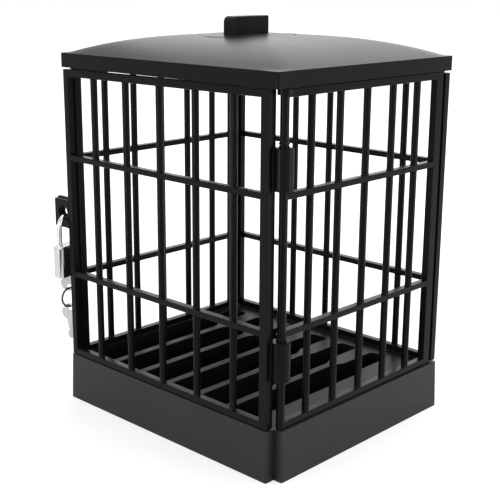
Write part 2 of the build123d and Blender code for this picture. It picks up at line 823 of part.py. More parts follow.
def make_padlock_cap():
    """The cap pressed over the pocket, with the two leg holes."""
    piece = stadium(cap_foot, body_top)
    piece = fillet(piece.faces().sort_by(Axis.Z)[-1].edges(), 0.4)
    piece -= leg_hole(-leg_y, cap_foot - 1)
    piece -= leg_hole(leg_y, cap_foot - 1)
    return in_lock(piece)


def make_heel_pin():
    """The cross pin that keeps the heel leg in the body."""
    pin = Cylinder(keeper_diameter / 2, lock_thickness - 0.1)
    return in_lock(Pos(0, keeper_y, keeper_z) * Rot(0, 90, 0) * pin)


def make_latch_bolt():
    """The sliding latch: its nose in the toe's notch, a slot for the cam pin, a bore for its spring."""
    half = latch_width / 2
    nose_half = latch_nose_width / 2
    piece = box_between((-half, latch_front, latch_foot), (half, latch_rear, latch_head))
    piece += box_between((-nose_half, nose_tip, nose_foot), (nose_half, latch_front + 1, latch_head))
    pin_y = -latch_travel / 2
    reach = cam_pin_diameter / 2 + 0.06
    piece -= box_between((0.95, pin_y - reach, latch_foot - 1), (9, pin_y + reach, latch_head - 0.3))
    bore = Cylinder(latch_spring_diameter / 2 + 0.05, 4.0)
    piece -= Pos(0, latch_rear + 0.2, latch_foot + 0.85) * Rot(90, 0, 0) * bore
    return in_lock(piece)


def make_latch_spring():
    """The latch's spring, as a sleeve at its pressed length."""
    sleeve = Cylinder(latch_spring_diameter / 2, latch_spring_length)
    sleeve -= Cylinder(latch_spring_diameter / 2 - 0.2, latch_spring_length + 1)
    middle = pocket_rear - 0.02 - latch_spring_length / 2
    return in_lock(Pos(0, middle, latch_foot + 0.85) * Rot(90, 0, 0) * sleeve)


def wafer_places():
    """The heights of the wafers' middles."""
    first = plug_head - 2.6 - wafer_pitch * (wafer_count - 1)
    return [first + wafer_pitch * k for k in range(wafer_count)]


def make_padlock_plug():
    """The plug: keyway, wafer windows, a grooved neck through the shelf, and the cam pin."""
    clip_head = clip_foot + clip_thickness + 0.02
    piece = rod_between(plug_diameter, 0, 0, body_foot, plug_head)
    piece += rod_between(plug_neck_diameter, 0, 0, plug_head - 0.5, clip_foot - 0.02)
    piece += rod_between(groove_diameter, 0, 0, clip_foot - 0.5, clip_head + 0.1)
    piece += rod_between(plug_neck_diameter, 0, 0, clip_head, neck_head)
    half_u = key_blade_width / 2 + key_clearance
    half_v = key_blade_thickness / 2 + key_clearance
    keyway_head = body_foot + key_blade_depth + 0.3
    cuts = [box_between((-half_u, -half_v, body_foot - 1), (half_u, half_v, keyway_head))]
    for z in wafer_places():
        gap = wafer_thickness / 2 + 0.05
        reach = wafer_width / 2 + 0.05
        cuts.append(box_between((-9, -reach, z - gap), (9, reach, z + gap)))
    piece -= [in_keyway(cut) for cut in cuts]
    pin = rod_between(cam_pin_diameter, cam_pin_radius, 0, neck_head - 0.5, latch_head - 0.4)
    piece += Rot(0, 0, -plug_turn / 2) * pin
    return in_lock(piece)


def make_lock_wafers():
    """The wafers, each window cut to where the key's bitting holds it level with the plug."""
    wafers = []
    for z, cut in zip(wafer_places(), key_cuts):
        half_u = key_blade_width / 2 + 0.04
        half_v = key_blade_thickness / 2 + key_clearance
        wafer = Box(wafer_length, wafer_width, wafer_thickness)
        wafer -= box_between((-half_u, -half_v, -9), (half_u - cut, half_v, 9))
        wafers.append(in_lock(in_keyway(Pos(0, 0, z) * wafer)).solid())
    return Compound(wafers)


def make_plug_clip():
    """The C-clip that keeps the plug in the body."""
    inner = groove_diameter / 2 + 0.05
    half = math.radians(clip_mouth_angle / 2)
    ray = (9 * math.cos(half), 9 * math.sin(half))
    mouth = make_face(Polyline((0, 0), ray, (ray[0], -ray[1]), close=True))
    section = Circle(inner + clip_width) - Circle(inner) - mouth
    return in_lock(Rot(0, 0, 180) * Pos(0, 0, clip_foot) * extrude(section, clip_thickness))


# Keys and ring
hole_z = body_foot - key_bow_gap - key_bow_radius - key_hole_drop
ring_top = hole_z - key_hole_diameter / 2 + ring_wire / 2 + ring_seat
ring_middle = ring_top - ring_radius
ring_foot = ring_middle - ring_radius
spare_hole_z = ring_foot + ring_wire / 2 + ring_seat - key_hole_diameter / 2


def key_shape():
    """A flat key. Its origin is the middle of its hole, its blade points up, its cuts face +X."""
    shoulder = key_hole_drop + key_bow_radius + key_bow_gap
    tip = shoulder + key_blade_depth
    half = key_blade_width / 2
    flat = Pos(0, key_hole_drop) * Circle(key_bow_radius)
    flat += Pos(0, (tip - 1 + key_hole_drop) / 2) * Rectangle(key_blade_width, tip - 1 - key_hole_drop)
    flat += make_face(Polyline((-half, tip - 1), (half, tip - 1), (0.5, tip), (-0.5, tip), close=True))
    flat -= Circle(key_hole_diameter / 2)
    for z, cut in zip(wafer_places(), key_cuts):
        y = z - hole_z
        flat -= make_face(Polyline(
            (half + 1, y - 1.5 - cut), (half - cut, y - 0.5), (half - cut, y + 0.5), (half + 1, y + 1.5 + cut),
            close=True,
        ))
    key = extrude(Plane.XZ * flat, key_bow_thickness / 2, both=True)
    thin = key_blade_thickness / 2
    key -= box_between((-9, thin, shoulder - 0.5), (9, 9, 99))
    key -= box_between((-9, -9, shoulder - 0.5), (9, -thin, 99))
    return key


def make_lock_key():
    """The key in the plug."""
    return in_lock(in_keyway(Pos(0, 0, hole_z) * key_shape()))


def make_spare_key():
    """The spare, hanging blade down on the ring."""
    return in_lock(in_keyway(Pos(0, 0, spare_hole_z) * Rot(0, 180, 0) * key_shape()))


def make_key_ring():
    """The wire ring through both keys' holes, with the butt joint of its two ends."""
    ring = Rot(0, 90, 0) * Torus(ring_radius, ring_wire / 2)
    ring -= box_between((-2, 0, -ring_split / 2), (2, 2 * ring_radius, ring_split / 2))
    return in_lock(Pos(0, 0, ring_middle) * Rot(0, 0, ring_heading) * ring)


makers = {
    "base_shell": make_base_shell,
    "base_cover": make_base_cover,
    "base_cover_screws": make_base_cover_screws,
    "phone_rack": make_phone_rack,
    "left_side_panel": make_left_side_panel,
    "rear_hasp_plate": make_rear_hasp_plate,
    "right_side_panel": make_right_side_panel,
    "back_panel": make_back_panel,
    "roof_shell": make_roof_shell,
    "roof_handle": make_roof_handle,
    "handle_washer": make_handle_washer,
    "handle_screw": make_handle_screw,
    "door_panel": make_door_panel,
    "hinge_knuckles": make_hinge_knuckles,
    "front_hasp_plate": make_front_hasp_plate,
    "padlock_shackle": make_padlock_shackle,
    "padlock_body": make_padlock_body,
    "padlock_cap": make_padlock_cap,
    "heel_pin": make_heel_pin,
    "latch_bolt": make_latch_bolt,
    "latch_spring": make_latch_spring,
    "padlock_plug": make_padlock_plug,
    "lock_wafers": make_lock_wafers,
    "plug_clip": make_plug_clip,
    "lock_key": make_lock_key,
    "key_ring": make_key_ring,
    "spare_key": make_spare_key,
}

os.makedirs("parts", exist_ok=True)
for name, maker in makers.items():
    export_step(maker(), "parts/" + name + ".step")
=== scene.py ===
"""Looks of a phone lock box: a barred black cage on a slotted base, with a padlock and its keys."""

import logging
import math
from dataclasses import dataclass, field
from enum import Enum

import bmesh
import bpy
from mathutils import Matrix, Vector


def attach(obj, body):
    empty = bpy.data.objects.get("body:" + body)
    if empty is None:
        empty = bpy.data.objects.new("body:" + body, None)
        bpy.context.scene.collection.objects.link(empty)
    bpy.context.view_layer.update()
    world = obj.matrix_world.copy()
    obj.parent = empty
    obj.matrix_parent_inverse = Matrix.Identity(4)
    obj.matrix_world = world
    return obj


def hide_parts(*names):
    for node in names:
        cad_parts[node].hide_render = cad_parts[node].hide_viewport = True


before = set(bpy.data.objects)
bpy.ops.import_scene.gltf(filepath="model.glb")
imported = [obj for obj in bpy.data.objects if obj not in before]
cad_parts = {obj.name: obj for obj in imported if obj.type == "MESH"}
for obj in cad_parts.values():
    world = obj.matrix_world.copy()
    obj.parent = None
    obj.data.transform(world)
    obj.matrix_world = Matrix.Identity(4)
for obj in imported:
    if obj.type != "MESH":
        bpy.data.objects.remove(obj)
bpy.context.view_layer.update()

MM = 0.001
Pair = tuple[float, float]
Point = tuple[float, float, float]
Node = bpy.types.Node
NodeTree = bpy.types.NodeTree
Material = bpy.types.Material
Verts = list[bmesh.types.BMVert]
Edges = list[bmesh.types.BMEdge]
SHARP_ANGLE = 38.0
MOULDED_EDGE = 0.3
FAR = 90.0
ZERO: Point = (0.0, 0.0, 0.0)
WHITE = (1.0, 1.0, 1.0, 1.0)
logging.basicConfig(level=logging.INFO, format="%(message)s")
log = logging.getLogger("lock_box")


# Shaping tools
def turned(angle: float, axis: str = "Z") -> Matrix:
    """The turn about an axis by an angle in degrees."""
    return Matrix.Rotation(math.radians(angle), 4, axis)


def link_object(name: str, bm: bmesh.types.BMesh) -> bpy.types.Object:
    """Turns a bmesh into an object of the scene, and frees it.

    Args:
        name: the object's name.
        bm: the bmesh.

    Returns:
        The object.
    """
    mesh = bpy.data.meshes.new(name)
    bm.to_mesh(mesh)
    bm.free()
    made = bpy.data.objects.new(name, mesh)
    bpy.context.scene.collection.objects.link(made)
    return made


class Axis(Enum):
    """The row axis that a rod runs along."""

    Y = "Y"
    Z = "Z"

    def turn(self) -> Matrix:
        """The turn that lays a rod's own Z along this axis."""
        return Matrix.Rotation(-math.pi / 2 if self is Axis.Y else 0.0, 4, "X")


@dataclass
class Shaper:
    """A mesh in the making, in millimetres, and the tools that add shapes to it."""

    name: str
    bm: bmesh.types.BMesh = field(default_factory=bmesh.new)

    @classmethod
    def boxed(cls, name: str, low: Point, high: Point) -> "Shaper":
        """A shape that starts as a box."""
        made = cls(name)
        made.block(low, high)
        return made

    def block(self, low: Point, high: Point, edge: float = 0.0) -> None:
        """Adds a box.

        Args:
            low: lowest corner.
            high: highest corner.
            edge: radius of its edges.
        """
        middle = Matrix.Translation([(a + b) / 2 for a, b in zip(low, high)])
        size = Matrix.Diagonal([b - a for a, b in zip(low, high)] + [1.0])
        verts = bmesh.ops.create_cube(self.bm, size=1.0, matrix=middle @ size)["verts"]
        if edge:
            self.bevel_edges(list(dict.fromkeys(e for v in verts for e in v.link_edges)), edge, 2)

    def rod(self, radius: float, start: Point, length: float, axis: Axis = Axis.Z, steps: int = 24,
            end_radius: float | None = None) -> None:
        """Adds a round rod or taper.

        Args:
            radius: radius at the start.
            start: middle of the starting face.
            length: length along the axis.
            axis: direction.
            steps: sides of the round.
            end_radius: radius at the end, or None for the same.
        """
        place = Matrix.Translation(start) @ axis.turn() @ Matrix.Translation((0, 0, length / 2))
        bmesh.ops.create_cone(
            self.bm, cap_ends=True, cap_tris=False, segments=steps, radius1=radius,
            radius2=radius if end_radius is None else end_radius, depth=length, matrix=place,
        )

    def plate(self, outline: list[Pair], foot: float, height: float) -> Verts:
        """Adds a slab from an outline drawn in XY.

        Args:
            outline: corners in order.
            foot: height of its lower face.
            height: thickness upwards.

        Returns:
            The slab's vertices.
        """
        verts = [self.bm.verts.new((x, y, foot)) for x, y in outline]
        face = self.bm.faces.new(verts)
        return verts + self.grow([face], height)

    def grow(self, faces: list[bmesh.types.BMFace], rise: float, keep: bool = False) -> Verts:
        """Extrudes faces upwards.

        Args:
            faces: the faces.
            rise: how far, below zero for downwards.
            keep: True where the faces stay as well.

        Returns:
            The new vertices.
        """
        grown = bmesh.ops.extrude_face_region(self.bm, geom=faces, use_keep_orig=keep)["geom"]
        return self.lift(grown, rise)

    def lift(self, grown: list, rise: float) -> Verts:
        """Raises an extrusion's new vertices, and returns them."""
        moved = [g for g in grown if isinstance(g, bmesh.types.BMVert)]
        bmesh.ops.translate(self.bm, verts=moved, vec=(0, 0, rise))
        return moved

    def sweep(self, geom: list, axis: Point, angle: float, steps: int, close: bool = False) -> None:
        """Spins a profile about an axis through the origin.

        Args:
            geom: the profile's vertices and edges.
            axis: the axis.
            angle: the angle in radians.
            steps: the number of steps.
            close: True where the last step meets the first.
        """
        bmesh.ops.spin(
            self.bm, geom=geom, cent=ZERO, axis=axis, dvec=ZERO, angle=angle, steps=steps,
            use_merge=close, use_duplicate=False,
        )

    def face_out(self) -> None:
        """Turns every face outwards."""
        bmesh.ops.recalc_face_normals(self.bm, faces=self.bm.faces[:])

    def rims(self) -> Edges:
        """The edges of open ends."""
        return [e for e in self.bm.edges if e.is_boundary]

    def fill_ends(self) -> None:
        """Closes the open ends of a swept wire and turns its faces outwards."""
        bmesh.ops.holes_fill(self.bm, edges=self.rims(), sides=0)
        self.face_out()

    def circle(self, radius: float, y: float, steps: int) -> None:
        """Starts a wire with its round profile in XY, at a place along Y."""
        made = bmesh.ops.create_circle(self.bm, cap_ends=False, radius=radius, segments=steps)
        self.place(made["verts"], Matrix.Translation((0, y, 0)))

    def spun(self, profile: list[Pair], centre: Point, steps: int) -> None:
        """Turns a profile of radius and height all the way round an upright axis.

        Args:
            profile: radius and height pairs, from the axis outwards and back to it.
            centre: origin of the profile.
            steps: sides of the round.
        """
        before = set(self.bm.verts)
        verts = [self.bm.verts.new((r, 0, h)) for r, h in profile]
        edges = [self.bm.edges.new(pair) for pair in zip(verts, verts[1:])]
        self.sweep(verts + edges, (0, 0, 1), math.tau, steps, close=True)
        made = [v for v in self.bm.verts if v not in before]
        bmesh.ops.remove_doubles(self.bm, verts=made, dist=1e-4)
        made = [v for v in self.bm.verts if v not in before]
        faces = list(dict.fromkeys(f for v in made for f in v.link_faces))
        bmesh.ops.recalc_face_normals(self.bm, faces=faces)
        self.place(made, Matrix.Translation(centre))

    def bevel_edges(self, edges: Edges, width: float, steps: int = 3) -> None:
        """Rounds edges by a width."""
        bmesh.ops.bevel(
            self.bm, geom=edges, offset=width, segments=steps, affect="EDGES", profile=0.5,
            offset_type="OFFSET", material=-1, clamp_overlap=True,
        )

    def soften(self, width: float) -> None:
        """Rounds every sharp edge by a width."""
        limit = math.radians(SHARP_ANGLE)
        sharp = [e for e in self.bm.edges if e.is_manifold and e.calc_face_angle(0.0) > limit]
        self.bevel_edges(sharp, width, 2)

    def upright(self, rise: float) -> Edges:
        """The edges whose two ends differ in height by more than a rise."""
        return [e for e in self.bm.edges if abs(e.verts[0].co.z - e.verts[1].co.z) > rise]

    def corners(self, rise: float) -> Edges:
        """The upright edges with a clear angle between their faces."""
        return [e for e in self.upright(rise) if e.calc_face_angle(0.0) > 1.0]

    def place(self, verts: Verts, matrix: Matrix) -> None:
        """Moves vertices by a matrix."""
        bmesh.ops.transform(self.bm, matrix=matrix, verts=verts)

    def place_all(self, matrix: Matrix) -> None:
        """Moves the whole shape by a matrix."""
        self.place(self.bm.verts[:], matrix)

    def move(self, offset: Point) -> None:
        """Moves the whole shape by an offset."""
        self.place_all(Matrix.Translation(offset))

    def fuse(self, *others: "Shaper") -> None:
        """Takes up the meshes of other shapes, and frees them."""
        for other in others:
            mesh = bpy.data.meshes.new("fused")
            other.bm.to_mesh(mesh)
            other.bm.free()
            self.bm.from_mesh(mesh)
            bpy.data.meshes.remove(mesh)

    def carve(self, *cutters: "Shaper") -> None:
        """Cuts other shapes out of this one, one by one, and frees them."""
        target = link_object(self.name, self.bm)
        for cutter in cutters:
            tool = link_object(cutter.name, cutter.bm)
            cut = target.modifiers.new("cut", "BOOLEAN")
            cut.operation, cut.solver, cut.object = "DIFFERENCE", "EXACT", tool
            cut.use_self = True
            bpy.context.view_layer.update()
            graph = bpy.context.evaluated_depsgraph_get()
            mesh = bpy.data.meshes.new_from_object(target.evaluated_get(graph))
            target.modifiers.clear()
            old, target.data = target.data, mesh
            bpy.data.meshes.remove(old)
            bpy.data.objects.remove(tool)
        self.bm = bmesh.new()
        self.bm.from_mesh(target.data)
        bpy.data.objects.remove(target)
        bmesh.ops.dissolve_limit(
            self.bm, angle_limit=0.002, verts=self.bm.verts[:], edges=self.bm.edges[:],
            delimit={"NORMAL"},
        )


@dataclass
class Piece:
    """How a finished shape becomes a piece of the object."""

    body: str
    stands_for: tuple[str, ...]
    slot: str
    material: Material
    edge: float = 0.3
    edge_steps: int = 2
    edge_angle: float = SHARP_ANGLE
    seat: Matrix = field(default_factory=lambda: Matrix.Identity(4))

    def make(self, shape: Shaper) -> bpy.types.Object:
        """Turns a shape into an object, with soft edges and its finish.

        Args:
            shape: the shape, in millimetres.

        Returns:
            The object, riding on its body.
        """
        shape.place_all(Matrix.Scale(MM, 4) @ self.seat)
        for face in shape.bm.faces:
            face.smooth = True
        made = link_object(shape.name, shape.bm)
        made.data.set_sharp_from_angle(angle=math.radians(self.edge_angle))
        made.data.materials.append(self.material)
        if self.edge > 0:
            soft = made.modifiers.new("soft_edges", "BEVEL")
            soft.width, soft.segments = self.edge * MM, self.edge_steps
            soft.limit_method = "ANGLE"
            soft.angle_limit = math.radians(self.edge_angle)
            soft.use_clamp_overlap = True
            soft.miter_outer = "MITER_ARC"
        level = made.modifiers.new("level_faces", "WEIGHTED_NORMAL")
        level.keep_sharp, level.weight = self.edge == 0, 80
        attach(made, self.body)
        if self.stands_for:
            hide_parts(*self.stands_for)
        log.info("piece %-20s body %-10s faces %d", shape.name, self.body, len(made.data.polygons))
        return made


# Finishes
def put(node: Node, values: dict[str | int, object]) -> None:
    """Sets a node's inputs by name or number."""
    for key, value in values.items():
        node.inputs[key].default_value = value


def join(start: Node, output: str | int, end: Node, entry: str | int) -> None:
    """Links an output of one node to an input of another."""
    start.id_data.links.new(start.outputs[output], end.inputs[entry])


def sums(tree: NodeTree, *operations: str) -> list[Node]:
    """Adds one maths node for each operation."""
    made = []
    for operation in operations:
        made.append(tree.nodes.new("ShaderNodeMath"))
        made[-1].operation = operation
    return made


def open_group(name: str, inputs: dict[str, float | None], outputs: tuple[str, ...]) -> NodeTree:
    """Starts a shared node group with its sockets.

    Args:
        name: the group's name.
        inputs: each input's default value, or None for a vector.
        outputs: names of the outputs, which are all numbers.

    Returns:
        The group.
    """
    tree = bpy.data.node_groups.new(name, "ShaderNodeTree")
    for key, value in inputs.items():
        kind = "NodeSocketVector" if value is None else "NodeSocketFloat"
        socket = tree.interface.new_socket(name=key, in_out="INPUT", socket_type=kind)
        if value is not None:
            socket.default_value = value
    for key in outputs:
        tree.interface.new_socket(name=key, in_out="OUTPUT", socket_type="NodeSocketFloat")
    return tree


def open_material(name: str) -> tuple[Material, NodeTree, Node]:
    """Starts a material: the material, its nodes and its shader."""
    material = bpy.data.materials.new(name)
    material.use_nodes = True
    return material, material.node_tree, material.node_tree.nodes["Principled BSDF"]


@dataclass(frozen=True)
class GrainGroup:
    """A fine sparked grain with broad cloudy variation: height, roughness and shade."""

    name: str = "surface_grain"

    def build(self) -> NodeTree:
        """Makes the group once.

        Returns:
            The node group.
        """
        if self.name in bpy.data.node_groups:
            return bpy.data.node_groups[self.name]
        tree = open_group(self.name, {
            "Vector": None, "Grain Scale": 2500.0, "Cloud Scale": 22.0, "Roughness": 0.4,
            "Roughness Spread": 0.06,
        }, ("Height", "Roughness", "Cloud"))
        new = tree.nodes.new
        ins, outs = new("NodeGroupInput"), new("NodeGroupOutput")
        fine, cloud = new("ShaderNodeTexNoise"), new("ShaderNodeTexNoise")
        put(fine, {"Detail": 3.0})
        put(cloud, {"Detail": 4.0, "Roughness": 0.6})
        join(ins, "Vector", fine, "Vector")
        join(ins, "Vector", cloud, "Vector")
        join(ins, "Grain Scale", fine, "Scale")
        join(ins, "Cloud Scale", cloud, "Scale")
        centred, spread, total = sums(tree, "SUBTRACT", "MULTIPLY", "ADD")
        put(centred, {1: 0.5})
        join(cloud, "Fac", centred, 0)
        join(centred, 0, spread, 0)
        join(ins, "Roughness Spread", spread, 1)
        join(spread, 0, total, 0)
        join(ins, "Roughness", total, 1)
        join(fine, "Fac", outs, "Height")
        join(total, 0, outs, "Roughness")
        join(cloud, "Fac", outs, "Cloud")
        return tree


@dataclass(frozen=True)
class MarksGroup:
    """Long fine drawing marks along one axis."""

    name: str = "drawn_marks"

    def build(self) -> NodeTree:
        """Makes the group once.

        Returns:
            The node group.
        """
        if self.name in bpy.data.node_groups:
            return bpy.data.node_groups[self.name]
        tree = open_group(self.name, {"Vector": None, "Scale": 900.0}, ("Marks",))
        new = tree.nodes.new
        ins, outs = new("NodeGroupInput"), new("NodeGroupOutput")
        stretch, marks = new("ShaderNodeVectorMath"), new("ShaderNodeTexNoise")
        stretch.operation = "MULTIPLY"
        put(stretch, {1: (1.0, 1.0, 0.06)})
        put(marks, {"Detail": 5.0})
        join(ins, "Vector", stretch, 0)
        join(stretch, 0, marks, "Vector")
        join(ins, "Scale", marks, "Scale")
        join(marks, "Fac", outs, "Marks")
        return tree


@dataclass(frozen=True)
class Finish:
    """The common start of every finish: a Principled shader and the coordinates."""

    name: str

    def start(self) -> tuple[Material, Node, Node]:
        """Makes the material, and gives it with its shader and the coordinate node."""
        material, tree, shader = open_material(self.name)
        return material, shader, tree.nodes.new("ShaderNodeTexCoord")

    @staticmethod
    def group(made: NodeTree, coords: Node) -> Node:
        """Places a shared group and feeds it object coordinates."""
        node = coords.id_data.nodes.new("ShaderNodeGroup")
        node.node_tree = made
        join(coords, "Object", node, "Vector")
        return node

    @staticmethod
    def bump(source: Node, height: str, shader: Node, depth: float, strength: float) -> None:
        """Feeds a height to the shader's normal.

        Args:
            source: the node that gives the height.
            height: name of its output.
            shader: the shader.
            depth: the height's depth in metres.
            strength: how strongly it shows.
        """
        node = shader.id_data.nodes.new("ShaderNodeBump")
        put(node, {"Distance": depth, "Strength": strength})
        join(source, height, node, "Height")
        join(node, "Normal", shader, "Normal")

    @staticmethod
    def ramp(source: Node, mask: str, shader: Node, low: Point, high: Point) -> None:
        """Colours the shader between two shades by a mask.

        Args:
            source: the node that gives the mask.
            mask: name of its output.
            shader: the shader.
            low: colour where the mask is low.
            high: colour where the mask is high.
        """
        node = shader.id_data.nodes.new("ShaderNodeValToRGB")
        for stop, place, colour in zip(node.color_ramp.elements, (0.3, 0.7), (low, high)):
            stop.position, stop.color = place, (*colour, 1.0)
        join(source, mask, node, "Fac")
        join(node, "Color", shader, "Base Color")


@dataclass(frozen=True)
class MouldedPlastic(Finish):
    """Black injection-moulded plastic with a fine sparked grain."""

    shade: float = 0.018
    roughness: float = 0.4
    level: float = 0.5
    tint: tuple[float, float, float, float] = (0.9, 0.88, 1.0, 1.0)
    blue: float = 1.03
    spread: float = 0.12
    grain: float = 3200.0
    depth: float = 0.00003
    strength: float = 0.35

    def build(self) -> Material:
        """Makes the material.

        Returns:
            The material.
        """
        material, shader, coords = self.start()
        grain = self.group(GrainGroup().build(), coords)
        put(grain, {"Grain Scale": self.grain, "Roughness": self.roughness})
        put(shader, {"Specular IOR Level": self.level, "IOR": 1.5, "Specular Tint": self.tint})
        join(grain, "Roughness", shader, "Roughness")
        low, high = (
            (shade, shade, shade * self.blue)
            for shade in (self.shade * (1 - self.spread), self.shade * (1 + self.spread))
        )
        self.ramp(grain, "Cloud", shader, low, high)
        self.bump(grain, "Height", shader, self.depth, self.strength)
        return material


@dataclass(frozen=True)
class PlatedMetal(Finish):
    """Plated or bare metal with drawing marks."""

    colour: Point = (0.72, 0.72, 0.73)
    roughness: float = 0.18
    marks_scale: float = 900.0
    cloud_scale: float = 160.0
    roughness_spread: float = 0.12
    low_share: float = 0.86
    depth: float = 0.00002
    strength: float = 0.25

    def build(self) -> Material:
        """Makes the material.

        Returns:
            The material.
        """
        material, shader, coords = self.start()
        marks = self.group(MarksGroup().build(), coords)
        grain = self.group(GrainGroup().build(), coords)
        put(marks, {"Scale": self.marks_scale})
        put(grain, {"Cloud Scale": self.cloud_scale, "Roughness": self.roughness})
        put(grain, {"Roughness Spread": self.roughness_spread})
        put(shader, {"Metallic": 1.0})
        join(grain, "Roughness", shader, "Roughness")
        low = tuple(c * self.low_share for c in self.colour)
        self.ramp(marks, "Marks", shader, low, self.colour)
        self.bump(marks, "Marks", shader, self.depth, self.strength)
        return material


@dataclass(frozen=True)
class Finishes:
    """All the finishes of the box, by use."""

    cage: Material
    base: Material
    roof: Material
    rack: Material
    nickel: Material
    key_steel: Material
    wire: Material
    zinc: Material
    brass: Material

    @classmethod
    def build(cls) -> "Finishes":
        """Makes every material once."""
        return cls(
            cage=MouldedPlastic("cage_plastic", shade=0.006, roughness=0.25, level=0.108).build(),
            # The base wears a lighter copy of the black plastic: its higher shade is painted bounce
            # light from the white floor, not a different plastic.
            base=MouldedPlastic("base_plastic_painted_bounce", shade=0.02, roughness=0.44, level=0.3).build(),
            roof=MouldedPlastic("roof_plastic", shade=0.006, roughness=0.33, level=0.108).build(),
            rack=MouldedPlastic("rack_plastic", shade=0.006, roughness=0.4, level=0.12).build(),
            nickel=PlatedMetal("nickel_plate", colour=(0.74, 0.735, 0.73), roughness=0.13).build(),
            key_steel=PlatedMetal("key_plate", colour=(0.68, 0.68, 0.68), roughness=0.3).build(),
            wire=PlatedMetal("ring_wire_steel", (0.11, 0.11, 0.115), roughness=0.26).build(),
            zinc=PlatedMetal("zinc_plate", colour=(0.58, 0.59, 0.6), roughness=0.34).build(),
            brass=PlatedMetal("turned_brass", colour=(0.72, 0.55, 0.27), roughness=0.28).build(),
        )


# The cage
@dataclass
class Cage:
    """Sizes that the cage's parts share, in millimetres."""

    side_plane: float = 71.2
    back_plane: float = 62.4
    thickness: float = 3.8
    bar: float = 3.5
    foot: float = 25.6
    head: float = 179.55
    lower_rail: float = 71.0
    upper_rail: float = 133.5
    rail: float = 3.0
    post_y: float = -57.4
    post: float = 4.0


class Side(Enum):
    """Where a fixed panel stands."""

    LEFT = -1
    RIGHT = 1


@dataclass
class BarredPanel:
    """A moulded grille along X: rails, stiles and round bars, in its own plane at Y 0."""

    cage: Cage
    low: float
    high: float
    foot: float
    head: float
    bars: tuple[float, ...]
    low_stile: float
    high_stile: float
    foot_rail: float = 3.3
    head_rail: float = 3.6
    edge: float = MOULDED_EDGE
    sink: float = 0.02
    corner_step: Point = ZERO
    flare: float = 0.14
    root_length: float = 0.65
    root_sink: float = 0.05

    def add_to(self, shape: Shaper) -> None:
        """Adds the grille to a shape."""
        half = self.cage.thickness / 2
        rise, sink = self.cage.rail / 2, self.sink
        rails = (
            (self.foot, self.foot + self.foot_rail),
            *((z - rise, z + rise) for z in (self.cage.lower_rail, self.cage.upper_rail)),
            (self.head - self.head_rail, self.head),
        )
        step, low_step, high_step = self.corner_step
        for low, high in rails:
            inset = sink + (step if low == self.foot or high == self.head else 0.0)
            left, right = self.low + inset, self.high - inset
            shape.block((left, sink - half, low), (right, half - sink, high), self.edge)
        for x in self.bars:
            shape.rod(self.cage.bar / 2, (x, 0, self.foot + 1), self.head - self.foot - 2)
            for low, high in rails:
                if low > self.foot:
                    self.root(shape, x, low, -1)
                if high < self.head:
                    self.root(shape, x, high, 1)
        foot, head = self.foot + low_step, self.head - high_step
        for start, end in (
            (self.low, self.low + self.low_stile), (self.high - self.high_stile, self.high),
        ):
            if end > start:
                shape.block((start, -half, foot), (end, half, head), self.edge)

    def root(self, shape: Shaper, x: float, z: float, way: int) -> None:
        """Adds the small flare where a bar meets a rail's face."""
        radius = self.cage.bar / 2
        wide, narrow = radius + self.flare, radius - self.sink
        length, sink = self.root_length, self.root_sink
        low, high, drop = (wide, narrow, sink) if way > 0 else (narrow, wide, length - sink)
        shape.rod(low, (x, 0, z - drop), length, steps=20, end_radius=high)


